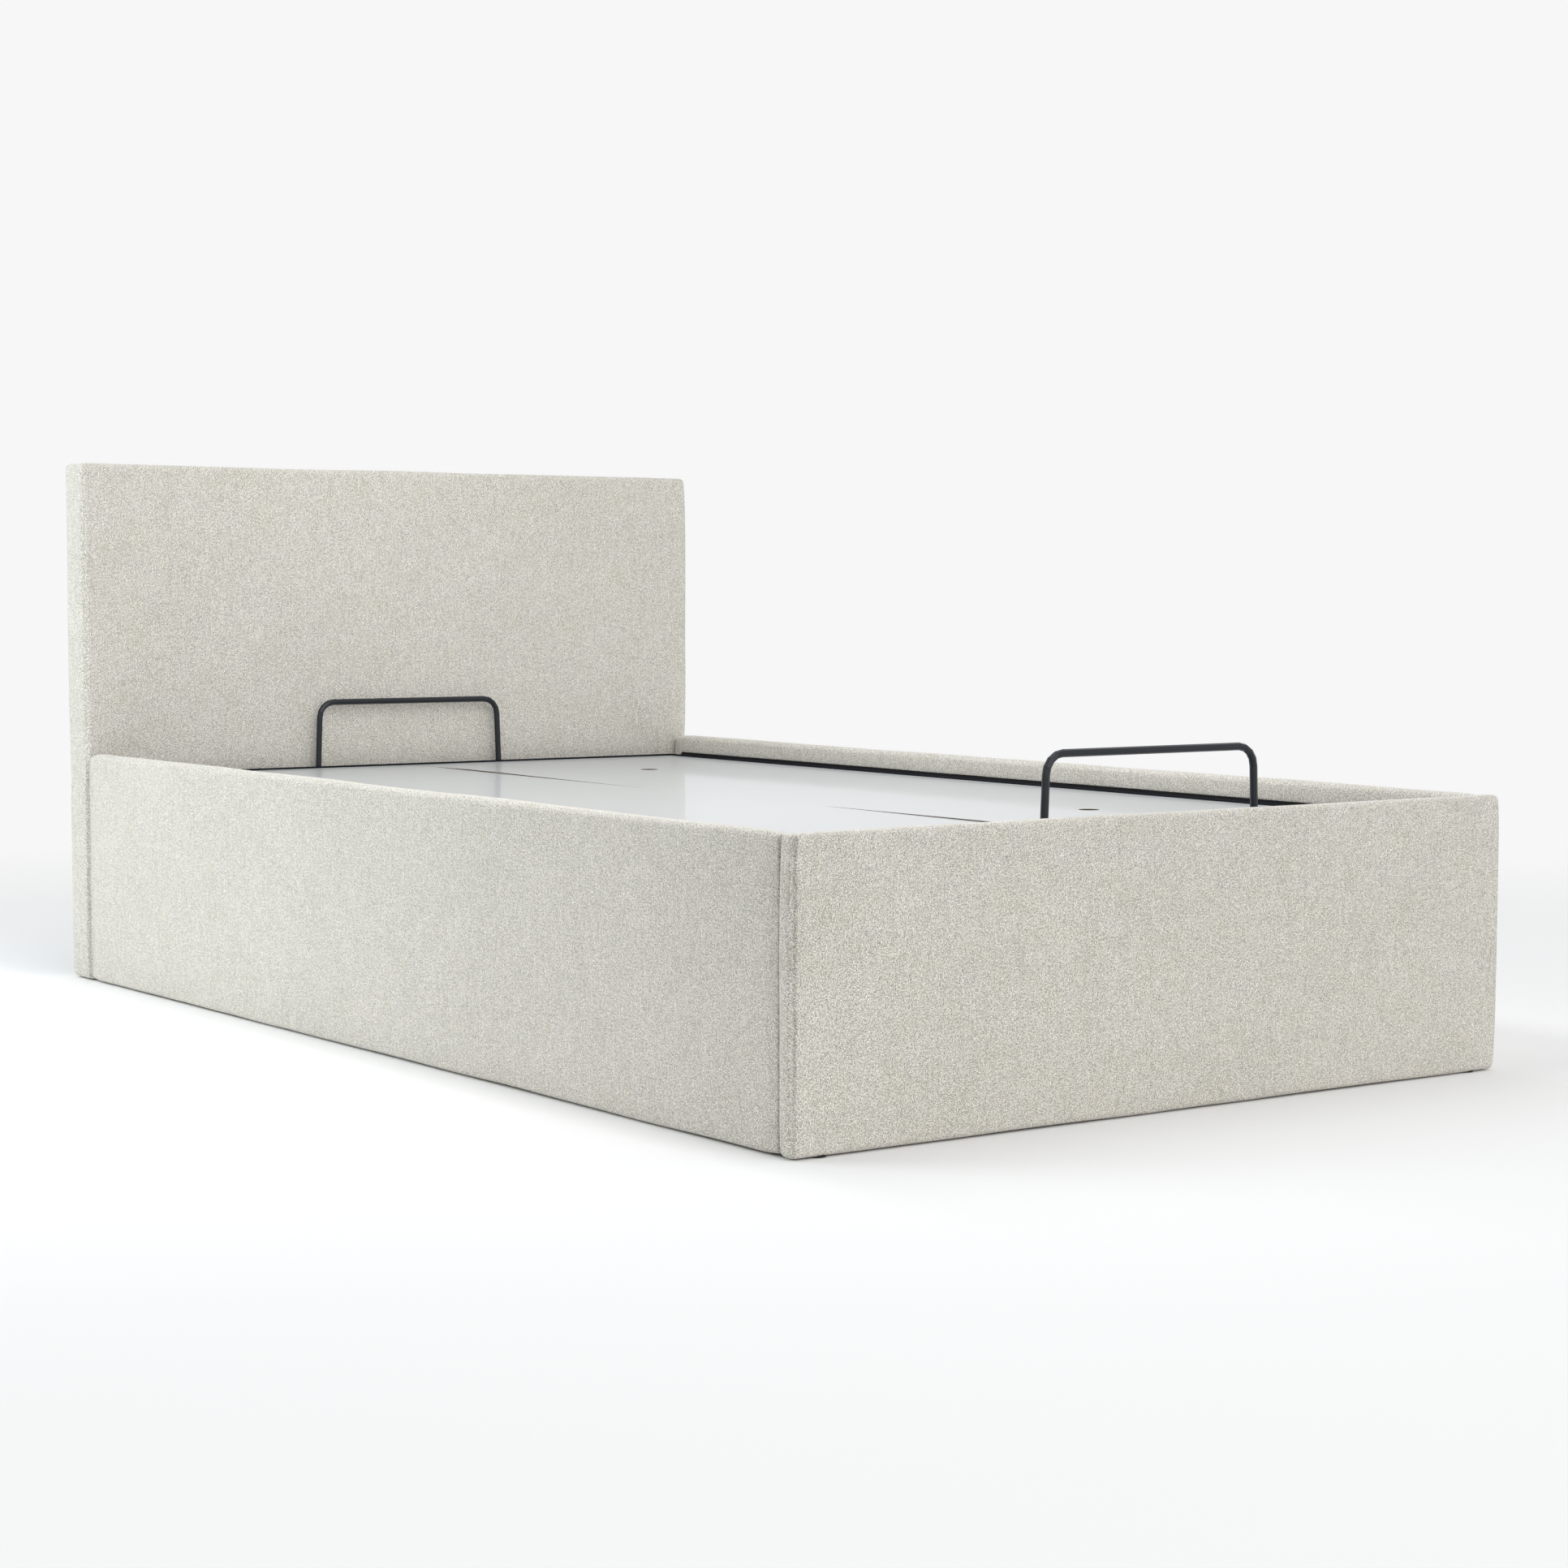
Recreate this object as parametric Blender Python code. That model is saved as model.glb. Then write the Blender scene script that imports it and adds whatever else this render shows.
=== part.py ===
"""Hydraulic storage bed: upholstered box, gas lifted platform, storage floor. Metres, +Z up.

X runs across the bed (right as seen from the foot), Y from the foot to the headboard.
The origin is on the floor under the middle of the bed.
Every moving piece has its own origin on its joint's axis.
"""

import math

import bmesh
import bpy
from mathutils import Vector

# Overall sizes
BED_WIDTH = 1.170
BED_LENGTH = 2.012
RAIL_TOP = 0.3705
HEADBOARD_TOP = 0.838
HEADBOARD_SEAM_HEIGHT = 0.327
HEADBOARD_THICKNESS = 0.069
RAIL_THICKNESS = 0.028
FOOT_THICKNESS = 0.028
GLIDE_HEIGHT = 0.004
GAP = 0.0003

# Upholstery
COVER_PAD = 0.006
COVER_ROUND = 0.007
COVER_ROUND_STEPS = 2
LIP_THICKNESS = 0.005
LIP_TOP_DEPTH = 0.029
LIP_EDGE_DEPTH = 0.026
LINING_THICKNESS = 0.0047

# Platform
PLATFORM_TOP = 0.335
BOARD_THICKNESS = 0.012
BOARD_SEAM = 0.0012
BOARD_EDGE_ROOM = 0.0006
FRAME_SIDE_GAP = 0.0195
FRAME_HEAD_GAP = 0.025
FRAME_FOOT_GAP = 0.028
EDGE_ANGLE_WIDTH = 0.030
EDGE_ANGLE_WALL = 0.0025
EDGE_LIP_ABOVE_BOARD = 0.003
TUBE_SIZE = 0.025
CROSS_TUBE_SHARES = (0.0, 0.148, 0.374, 0.626, 0.852, 1.0)
FINGER_HOLE_RADIUS = 0.0150
FINGER_HOLE_SHARES = (0.2205, 0.8210)

# Retainer bars
BAR_RADIUS = 0.005
BAR_LEG_SPACING = 0.352
BAR_TOP_NARROWING = 0.003
BAR_CENTRE_HEIGHT = 0.4455
BAR_CORNER_RADIUS = 0.026
BAR_CORNER_STEPS = 4
BAR_BOTTOM_HEIGHT = 0.303
BAR_ABOVE_SOCKET = 0.004
SOCKET_OUTER_RADIUS = 0.0072
SOCKET_INNER_RADIUS = 0.0055
SOCKET_LENGTH = 0.032
SOCKET_BOTTOM = 0.3050
SOCKET_WELD = 0.0004

# Lift linkage: arm and roller track
ARM_LENGTH = 0.400
ARM_REST_DEGREES = 11.0
LIFT_DEGREES = 38.0
TRACK_HEIGHT = 0.190
ROLLER_FROM_HEADBOARD = 0.077
ARM_THICKNESS = 0.004
ARM_END_RADIUS = 0.016
ARM_WAIST = 0.012
ARM_TO_LUG_ROOM = 0.0017
LUG_THICKNESS = 0.004
LUG_END_RADIUS = 0.015
ARM_LUG_TOP_WIDTH = 0.070
ROLLER_LUG_TOP_WIDTH = 0.064
LUG_OVERLAP_HEIGHT = 0.018
PIVOT_RADIUS = 0.005
PIVOT_HOLE_RADIUS = 0.0054
PIVOT_HEAD_RADIUS = 0.009
PIVOT_HEAD_THICKNESS = 0.0025
PIVOT_BOSS_RADIUS = 0.009
AXLE_RADIUS = 0.004
AXLE_HOLE_RADIUS = 0.0043
AXLE_COLLAR_RADIUS = 0.006
ROLLER_RADIUS = 0.0150
ROLLER_WIDTH = 0.009
ROLLER_EDGE_ROUND = 0.0012
TRACK_WALL = 0.0024
TRACK_DEPTH = 0.0125
TRACK_FOOT_ROOM = 0.030
TRACK_HEAD_ROOM = 0.026
TRACK_TAB_LENGTH = 0.024
TRACK_TAB_WIDTH = 0.024
TRACK_TAB_LAP = 0.004
TRACK_TAB_THINNER = 0.0004
TRACK_RUNNING_ROOM = 0.0005

# Gas strut
STRUT_BASE_FROM_ARM_TOP = 0.08735
STRUT_BASE_BELOW_TRACK = 0.120
STRUT_TOP_FROM_ARM_TOP = 0.08265
STRUT_TOP_BELOW_FRAME = 0.0267
STRUT_LENGTH_SPARE = 0.0007
STRUT_PLANE_FROM_FRAME = 0.0175
STRUT_BODY_RADIUS = 0.010
STRUT_BORE_RADIUS = 0.0080
STRUT_BODY_START = 0.024
STRUT_BODY_FROM_TOP = 0.0375
STRUT_END_WALL = 0.004
STRUT_GLAND_LENGTH = 0.010
STRUT_ROD_RADIUS = 0.004
STRUT_ROD_HOLE_RADIUS = 0.0044
STRUT_PISTON_RADIUS = 0.0076
STRUT_PISTON_LENGTH = 0.008
STRUT_PISTON_START = 0.036
STRUT_EYE_RADIUS = 0.0095
STRUT_EYE_HOLE_RADIUS = 0.0043
STRUT_TOP_EYE_HOLE_RADIUS = 0.0052
STRUT_EYE_WIDTH = 0.010
STRUT_NECK_RADIUS = 0.0045
STRUT_STUD_RADIUS = 0.004
STRUT_STUD_BOSS_RADIUS = 0.007
STRUT_STUD_CAP_RADIUS = 0.0065
STRUT_STUD_CAP_THICKNESS = 0.002
STRUT_SIDE_ROOM = 0.0005

# Brackets on the rails and the frame
PLATE_THICKNESS = 0.003
PIVOT_BRACKET_BELOW = 0.112
PIVOT_BRACKET_ABOVE = 0.026
PIVOT_BRACKET_BASE_WIDTH = 0.150
PIVOT_BRACKET_BASE_HEIGHT = 0.034
PIVOT_BRACKET_NECK_WIDTH = 0.052
PIVOT_BRACKET_SLOT_RADIUS = 0.012
STRUT_BRACKET_WIDTH = 0.076
STRUT_BRACKET_HEIGHT = 0.050
STRUT_TOP_BRACKET_LENGTH = 0.046
STRUT_TOP_BRACKET_DEPTH = 0.046
STRUT_TOP_BRACKET_WIDTH = 0.022
PLATE_CORNER = 0.008
PLATE_CORNER_STEPS = 3
CORNER_BRACKET_LEG = 0.042
CORNER_BRACKET_HEIGHT = 0.116
CORNER_BRACKET_BOTTOM = 0.046
CORNER_BRACKET_WALL = 0.003
CORNER_BOLT_HEIGHTS = (0.068, 0.128)

# Fasteners
BOLT_RADIUS = 0.003
BOLT_HOLE_RADIUS = 0.0035
BOLT_HEAD_RADIUS = 0.0058
BOLT_HEAD_HEIGHT = 0.0034
BOLT_LENGTH = 0.018
BOLT_SOCKET_RADIUS = 0.0022
BOLT_SOCKET_DEPTH = 0.0018
SCREW_RADIUS = 0.002
SCREW_HOLE_RADIUS = 0.0024
SCREW_HEAD_RADIUS = 0.0042
SCREW_HEAD_HEIGHT = 0.0020
SCREW_LENGTH = 0.016
DRILL_ROOM = 0.002
DOWEL_RADIUS = 0.005
DOWEL_HOLE_RADIUS = 0.0054
DOWEL_LENGTH = 0.090
DOWEL_INSET = 0.165

# Foot ledge, buffers, storage floor, glides
FOOT_REST_DEPTH = 0.055
FOOT_REST_HEIGHT = 0.040
FOOT_REST_WALL = 0.003
FOOT_REST_END_ROOM = 0.030
FOOT_REST_SCREW_SHARES = (-0.82, 0.0, 0.82)
BUFFER_RADIUS = 0.011
BUFFER_HEIGHT = 0.0055
BUFFER_INSET = 0.1375
BATTEN_WIDTH = 0.045
BATTEN_HEIGHT = 0.025
BATTEN_FOOT_SHARE = 0.1765
BATTEN_MIDDLE_SHARE = 0.5107
BATTEN_HEAD_SHARE = 0.8345
FLOOR_THICKNESS = 0.005
FLOOR_SIDE_ROOM = 0.0008
FLOOR_JOINT_SHARE = 0.5107
FLOOR_JOINT_ROOM = 0.0010
GLIDE_RADIUS = 0.011
GLIDE_INSET = 0.045
BATTEN_GLIDE_SHARES = (-0.9, 0.0, 0.9)

HEAD_TOP_SHARE = 0.72
BOLT_ON_LEG_SHARE = 0.62
BOLT_STAGGER = 0.012
SCREW_INSET_SHARE = 1.1
TUBE_WALL = 0.0015
TUBE_WELD = 0.0008
TUBE_END_INSET = 0.0008
VENT_RADIUS = 0.003
VENT_FROM_END = 0.040
LUG_ROUND_STEPS = 6
LUG_WINDOW_RADIUS = 0.010
RIVET_ROOM = 0.0004
ROLLER_BORE_RADIUS = 0.0043
ROLLER_SIDES = 20
AXLE_END_ROOM = 0.0006
ARM_ROUND_STEPS = 8
ARM_END_TURN_DEGREES = 50.0
ARM_WAIST_START = 0.030
ARM_SIDE_ROOM = 0.0004
PIVOT_CAP_RADIUS = 0.008
PIVOT_CAP_THICKNESS = 0.002
EYE_STEPS = 14
ROD_NECK_LENGTH = 0.020
FUSE_DEPTH = 0.001
SMOOTH_DEGREES = 40.0
ROUND_SIDES = 16
SMALL_ROUND_SIDES = 8
FASTENER_SIDES = 8
HOLE_SIDES = 12

# Derived places
HALF_WIDTH = BED_WIDTH / 2
HALF_LENGTH = BED_LENGTH / 2
RAIL_INNER_X = HALF_WIDTH - RAIL_THICKNESS
HEAD_FACE_Y = HALF_LENGTH - HEADBOARD_THICKNESS
FOOT_FACE_Y = FOOT_THICKNESS - HALF_LENGTH
FRAME_X = RAIL_INNER_X - FRAME_SIDE_GAP
FRAME_HEAD_Y = HEAD_FACE_Y - FRAME_HEAD_GAP
FRAME_FOOT_Y = FOOT_FACE_Y + FRAME_FOOT_GAP
BOARD_BOTTOM = PLATFORM_TOP - BOARD_THICKNESS
ANGLE_BOTTOM = BOARD_BOTTOM - GAP - EDGE_ANGLE_WALL
TUBE_TOP = ANGLE_BOTTOM - GAP
TUBE_BOTTOM = TUBE_TOP - TUBE_SIZE
ARM_REST = math.radians(ARM_REST_DEGREES)
ROLLER_REST_Y = HEAD_FACE_Y - ROLLER_FROM_HEADBOARD
PIVOT_Y = ROLLER_REST_Y - 2 * ARM_LENGTH * math.cos(ARM_REST)
ARM_TOP_Y = PIVOT_Y + ARM_LENGTH * math.cos(ARM_REST)
ARM_TOP_Z = TRACK_HEIGHT + ARM_LENGTH * math.sin(ARM_REST)
STRUT_BASE_Y = ARM_TOP_Y - STRUT_BASE_FROM_ARM_TOP
STRUT_BASE_Z = TRACK_HEIGHT - STRUT_BASE_BELOW_TRACK
STRUT_TOP_Y = ARM_TOP_Y + STRUT_TOP_FROM_ARM_TOP
STRUT_TOP_Z = TUBE_BOTTOM - STRUT_TOP_BELOW_FRAME
STRUT_RUN = Vector((0, STRUT_TOP_Y - STRUT_BASE_Y, STRUT_TOP_Z - STRUT_BASE_Z))
STRUT_REST_LENGTH = STRUT_RUN.length + STRUT_LENGTH_SPARE
LUG_X = FRAME_X + GAP
LUG_OUTER_X = LUG_X + LUG_THICKNESS
ARM_X = LUG_OUTER_X + ARM_TO_LUG_ROOM
ARM_OUTER_X = ARM_X + ARM_THICKNESS
PLATE_OUTER_X = RAIL_INNER_X - GAP
PLATE_X = PLATE_OUTER_X - PLATE_THICKNESS
STRUT_X = FRAME_X - STRUT_PLANE_FROM_FRAME
ROLLER_X = PLATE_OUTER_X - TRACK_WALL - ROLLER_WIDTH - 2 * AXLE_END_ROOM
FRAME_BEHIND_FOOT_Y = FOOT_FACE_Y + GAP
GLIDE_X = HALF_WIDTH - GLIDE_INSET
DOWEL_X = HALF_WIDTH - DOWEL_INSET
BUFFER_X = FRAME_X - BUFFER_INSET
BAR_HEAD_Y = FRAME_HEAD_Y - SOCKET_WELD + SOCKET_OUTER_RADIUS
BAR_FOOT_Y = FRAME_FOOT_Y + SOCKET_WELD - SOCKET_OUTER_RADIUS
FLOOR_BOTTOM = GLIDE_HEIGHT + BATTEN_HEIGHT + GAP
SIDES = (("left", -1), ("right", 1))


def clear_scene():
    for thing in list(bpy.data.objects):
        bpy.data.objects.remove(thing, do_unlink=True)
    for mesh in list(bpy.data.meshes):
        bpy.data.meshes.remove(mesh)


def give_material(thing, colour, roughness, metallic):
    material = bpy.data.materials.new(thing.name + "_material")
    material.use_nodes = True
    shader = material.node_tree.nodes["Principled BSDF"]
    shader.inputs["Base Color"].default_value = (*colour, 1.0)
    shader.inputs["Roughness"].default_value = roughness
    shader.inputs["Metallic"].default_value = metallic
    thing.data.materials.append(material)


def fabric(thing):
    give_material(thing, (0.60, 0.57, 0.50), 0.95, 0.0)


def black_lining(thing):
    give_material(thing, (0.012, 0.012, 0.013), 0.9, 0.0)


def bare_wood(thing):
    give_material(thing, (0.52, 0.38, 0.23), 0.7, 0.0)


def glossy_board(thing):
    give_material(thing, (0.68, 0.69, 0.69), 0.2, 0.0)


def dark_paint(thing):
    give_material(thing, (0.025, 0.028, 0.034), 0.45, 0.0)


def plated_steel(thing):
    give_material(thing, (0.62, 0.62, 0.60), 0.35, 1.0)


def black_plastic(thing):
    give_material(thing, (0.02, 0.02, 0.02), 0.6, 0.0)


def white_nylon(thing):
    give_material(thing, (0.75, 0.75, 0.72), 0.5, 0.0)


def new_object(name, bm, paint, origin=(0, 0, 0), smooth=False):
    bmesh.ops.recalc_face_normals(bm, faces=bm.faces)
    mesh = bpy.data.meshes.new(name)
    shift = Vector(origin)
    for vert in bm.verts:
        vert.co -= shift
    bm.to_mesh(mesh)
    bm.free()
    thing = bpy.data.objects.new(name, mesh)
    thing.location = shift
    bpy.context.collection.objects.link(thing)
    if paint is not None:
        paint(thing)
    if smooth:
        mesh.shade_smooth()
        mesh.set_sharp_from_angle(angle=math.radians(SMOOTH_DEGREES))
    return thing



def add_box(bm, low, high):
    low = Vector(low)
    high = Vector(high)
    corners = []
    for z in (low.z, high.z):
        for x, y in ((low.x, low.y), (high.x, low.y), (high.x, high.y), (low.x, high.y)):
            corners.append(bm.verts.new((x, y, z)))
    for loop in ((3, 2, 1, 0), (4, 5, 6, 7), (0, 1, 5, 4), (1, 2, 6, 5), (2, 3, 7, 6), (3, 0, 4, 7)):
        bm.faces.new([corners[i] for i in loop])


def sorted_box(a, b):
    low = tuple(min(p, q) for p, q in zip(a, b))
    high = tuple(max(p, q) for p, q in zip(a, b))
    return low, high


def box(name, a, b, paint, origin=(0, 0, 0)):
    bm = bmesh.new()
    add_box(bm, *sorted_box(a, b))
    return new_object(name, bm, paint, origin)


def rounded_box(name, a, b, radius, steps, paint):
    bm = bmesh.new()
    add_box(bm, *sorted_box(a, b))
    bmesh.ops.bevel(bm, geom=bm.edges[:], offset=radius, segments=steps, profile=0.5, affect="EDGES")
    return new_object(name, bm, paint, smooth=True)


def axis_point(axis, u, v, w):
    """A point from two coordinates in a plane and one along the axis."""
    if axis == "X":
        return Vector((w, u, v))
    if axis == "Y":
        return Vector((u, w, v))
    return Vector((u, v, w))


def circle_outline(u, v, radius, sides, start=0.0):
    points = []
    for i in range(sides):
        angle = start + 2 * math.pi * i / sides
        points.append((u + radius * math.cos(angle), v + radius * math.sin(angle)))
    return points


def add_plate(bm, outline, holes, axis, start, end):
    """A flat plate with through holes, as one closed solid."""
    flat = bmesh.new()
    loops = []
    for points in [outline] + holes:
        ring = [flat.verts.new(axis_point(axis, u, v, start)) for u, v in points]
        for i, vert in enumerate(ring):
            flat.edges.new((vert, ring[(i + 1) % len(ring)]))
        loops.append(ring)
    flat.verts.index_update()
    filled = bmesh.ops.triangle_fill(flat, use_beauty=True, use_dissolve=False, edges=flat.edges[:])
    parts = [part for part in filled["geom"] if isinstance(part, bmesh.types.BMFace)]
    faces = [[vert.index for vert in part.verts] for part in parts]
    rings = [[vert.index for vert in ring] for ring in loops]
    places = [vert.co.copy() for vert in flat.verts]
    flat.free()
    step = axis_point(axis, 0, 0, end - start)
    lower = [bm.verts.new(place) for place in places]
    upper = [bm.verts.new(place + step) for place in places]
    for face in faces:
        bm.faces.new([lower[i] for i in face])
        bm.faces.new([upper[i] for i in reversed(face)])
    for ring in rings:
        for i, first in enumerate(ring):
            second = ring[(i + 1) % len(ring)]
            bm.faces.new((lower[first], lower[second], upper[second], upper[first]))


def plate(name, outline, holes, axis, start, end, paint, origin=(0, 0, 0)):
    bm = bmesh.new()
    add_plate(bm, outline, holes, axis, start, end)
    return new_object(name, bm, paint, origin, smooth=True)


def rounded_outline(points, radius, steps):
    """A convex or concave outline with each corner rounded."""
    result = []
    count = len(points)
    for i, corner in enumerate(points):
        here = Vector(corner)
        before = (Vector(points[i - 1]) - here).normalized()
        after = (Vector(points[(i + 1) % count]) - here).normalized()
        half = before.angle(after) / 2
        reach = radius / math.tan(half)
        middle = here + (before + after).normalized() * (radius / math.sin(half))
        first = here + before * reach - middle
        last = here + after * reach - middle
        turn = first.angle_signed(last)
        for step in range(steps + 1):
            angle = -turn * step / steps
            c = math.cos(angle)
            s = math.sin(angle)
            result.append((middle.x + c * first.x - s * first.y, middle.y + s * first.x + c * first.y))
    return result


def rectangle(u0, v0, u1, v1):
    return [(u0, v0), (u1, v0), (u1, v1), (u0, v1)]


def add_lathe(bm, profile, centre, axis, sides, closed=False):
    """Turns a profile of (distance along the axis, radius) pairs around an axis."""
    along = axis.normalized()
    side = along.orthogonal().normalized()
    other = along.cross(side)
    rings = []
    for distance, radius in profile:
        if radius == 0:
            rings.append([bm.verts.new(centre + along * distance)])
            continue
        ring = []
        for i in range(sides):
            angle = 2 * math.pi * i / sides
            out = side * math.cos(angle) + other * math.sin(angle)
            ring.append(bm.verts.new(centre + along * distance + out * radius))
        rings.append(ring)
    pairs = list(zip(rings, rings[1:]))
    if closed:
        pairs.append((rings[-1], rings[0]))
    for low, high in pairs:
        for i in range(sides):
            j = (i + 1) % sides
            if len(low) == 1:
                bm.faces.new((low[0], high[j], high[i]))
            elif len(high) == 1:
                bm.faces.new((low[i], low[j], high[0]))
            else:
                bm.faces.new((low[i], low[j], high[j], high[i]))


def lathe(name, profile, centre, axis, sides, paint, origin=(0, 0, 0), closed=False):
    bm = bmesh.new()
    add_lathe(bm, profile, Vector(centre), Vector(axis), sides, closed)
    return new_object(name, bm, paint, origin, smooth=True)


def rod_profile(length, radius):
    return [(0, 0), (0, radius), (length, radius), (length, 0)]


def ring_profile(start, end, inner, outer):
    return [(start, inner), (start, outer), (end, outer), (end, inner)]


def cutter(name, build):
    bm = bmesh.new()
    build(bm)
    thing = new_object(name, bm, None)
    thing.hide_render = True
    thing.display_type = "WIRE"
    return thing


def cut(thing, tool):
    modifier = thing.modifiers.new("Cut " + tool.name, "BOOLEAN")
    modifier.operation = "DIFFERENCE"
    modifier.solver = "EXACT"
    modifier.object = tool


def fuse(thing, build):
    """Welds shapes that cross a thing's surface onto it."""
    bm = bmesh.new()
    build(bm)
    tool = new_object("weld_" + thing.name, bm, None, thing.location)
    tool.hide_render = True
    tool.display_type = "WIRE"
    modifier = thing.modifiers.new("Weld", "BOOLEAN")
    modifier.operation = "UNION"
    modifier.solver = "EXACT"
    modifier.object = tool


# Fasteners are welded to the piece they hold. FASTENERS lists them all, for the holes in the panels
FASTENERS = []


def add_bolt(bm, head, axis):
    socket = BOLT_SOCKET_DEPTH - BOLT_HEAD_HEIGHT
    profile = [(socket, 0), (socket, BOLT_SOCKET_RADIUS), (-BOLT_HEAD_HEIGHT, BOLT_SOCKET_RADIUS),
               (-BOLT_HEAD_HEIGHT, BOLT_HEAD_RADIUS * HEAD_TOP_SHARE),
               (FUSE_DEPTH, BOLT_HEAD_RADIUS), (FUSE_DEPTH, BOLT_RADIUS),
               (BOLT_LENGTH, BOLT_RADIUS), (BOLT_LENGTH, 0)]
    add_lathe(bm, profile, head, axis, FASTENER_SIDES)
    FASTENERS.append((head, axis, BOLT_LENGTH + DRILL_ROOM, BOLT_HOLE_RADIUS))


def add_screw(bm, head, axis):
    profile = [(-SCREW_HEAD_HEIGHT, 0), (-SCREW_HEAD_HEIGHT, SCREW_HEAD_RADIUS * HEAD_TOP_SHARE),
               (FUSE_DEPTH, SCREW_HEAD_RADIUS),
               (FUSE_DEPTH, SCREW_RADIUS), (SCREW_LENGTH, SCREW_RADIUS), (SCREW_LENGTH, 0)]
    add_lathe(bm, profile, head, axis, FASTENER_SIDES)
    FASTENERS.append((head, axis, SCREW_LENGTH + DRILL_ROOM, SCREW_HOLE_RADIUS))


def drill(things, low, high, name):
    """Drills the holes of every fastener that ends inside a panel's box."""
    chosen = []
    for head, axis, depth, radius in FASTENERS:
        tip = head + axis * depth
        if all(low[i] < tip[i] < high[i] for i in range(3)):
            chosen.append((head, axis, depth, radius))

    def build(bm):
        for head, axis, depth, radius in chosen:
            add_lathe(bm, rod_profile(depth, radius), head, axis, FASTENER_SIDES)

    if chosen:
        tool = cutter(name, build)
        for thing in things:
            cut(thing, tool)


# Upholstered panels: core board, padded cover, black lining in the cover's open side
def upholstered_panel(name, low, high, open_axis, open_sign, top_lip, lining_name):
    index = "XYZ".index(open_axis)
    cover = rounded_box(name + "_cover", low, high, COVER_ROUND, COVER_ROUND_STEPS, fabric)
    inner_low = [value + COVER_PAD for value in low]
    inner_high = [value - COVER_PAD for value in high]
    if open_sign > 0:
        inner_high[index] = high[index] - LIP_THICKNESS
    else:
        inner_low[index] = low[index] + LIP_THICKNESS
    board = box(name + "_board", [v + GAP for v in inner_low], [v - GAP for v in inner_high], bare_wood)
    window_low = [value + LIP_EDGE_DEPTH for value in low]
    window_high = [value - LIP_EDGE_DEPTH for value in high]
    window_high[2] = high[2] - top_lip
    if open_sign > 0:
        window_low[index] = inner_high[index] - COVER_PAD
        window_high[index] = high[index] + COVER_PAD
    else:
        window_low[index] = low[index] - COVER_PAD
        window_high[index] = inner_low[index] + COVER_PAD
    cut(cover, cutter("cut_cavity_" + name, lambda bm: add_box(bm, inner_low, inner_high)))
    cut(cover, cutter("cut_window_" + name, lambda bm: add_box(bm, window_low, window_high)))
    lining_low = [v + GAP for v in window_low]
    lining_high = [v - GAP for v in window_high]
    if open_sign > 0:
        lining_low[index] = inner_high[index]
        lining_high[index] = inner_high[index] + LINING_THICKNESS
    else:
        lining_high[index] = inner_low[index]
        lining_low[index] = inner_low[index] - LINING_THICKNESS
    lining = box(lining_name, lining_low, lining_high, black_lining)
    return cover, board, lining


def make_box_panels():
    rail_low = GLIDE_HEIGHT
    for side, sign in SIDES:
        low, high = sorted_box((sign * HALF_WIDTH, FRAME_BEHIND_FOOT_Y, rail_low),
                               (sign * RAIL_INNER_X, HEAD_FACE_Y - GAP, RAIL_TOP))
        parts = upholstered_panel(side + "_rail", low, high, "X", -sign, LIP_TOP_DEPTH, side + "_rail_lining")
        drill(parts, low, high, "drill_" + side + "_rail")
    low = (-HALF_WIDTH, -HALF_LENGTH, rail_low)
    high = (HALF_WIDTH, FOOT_FACE_Y, RAIL_TOP)
    parts = upholstered_panel("footboard", low, high, "Y", 1, LIP_TOP_DEPTH, "footboard_lining")
    drill(parts, low, high, "drill_footboard")
    low = (-HALF_WIDTH, HEAD_FACE_Y, rail_low)
    high = (HALF_WIDTH, HALF_LENGTH, HEADBOARD_SEAM_HEIGHT)
    lower = upholstered_panel("headboard_lower", low, high, "Y", 1, LIP_EDGE_DEPTH, "headboard_lower_backing")
    drill(lower, low, high, "drill_headboard_lower")
    low = (-HALF_WIDTH, HEAD_FACE_Y, HEADBOARD_SEAM_HEIGHT + GAP)
    high = (HALF_WIDTH, HALF_LENGTH, HEADBOARD_TOP)
    upper = upholstered_panel("headboard_upper", low, high, "Y", 1, LIP_EDGE_DEPTH, "headboard_upper_backing")
    make_headboard_dowels(lower, upper)



def make_headboard_dowels(lower, upper):
    y = HEAD_FACE_Y + HEADBOARD_THICKNESS / 2
    start = HEADBOARD_SEAM_HEIGHT - DOWEL_LENGTH / 2
    up = Vector((0, 0, 1))

    def holes(bm):
        profile = rod_profile(DOWEL_LENGTH + 2 * GAP, DOWEL_HOLE_RADIUS)
        for _, sign in SIDES:
            add_lathe(bm, profile, Vector((sign * DOWEL_X, y, start - GAP)), up, HOLE_SIDES)

    def dowels(bm):
        profile = rod_profile(DOWEL_LENGTH, DOWEL_RADIUS)
        for _, sign in SIDES:
            add_lathe(bm, profile, Vector((sign * DOWEL_X, y, start)), up, HOLE_SIDES)

    tool = cutter("drill_dowels", holes)
    for thing in (lower[0], lower[1], upper[0]):
        cut(thing, tool)
    fuse(upper[1], dowels)


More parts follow.
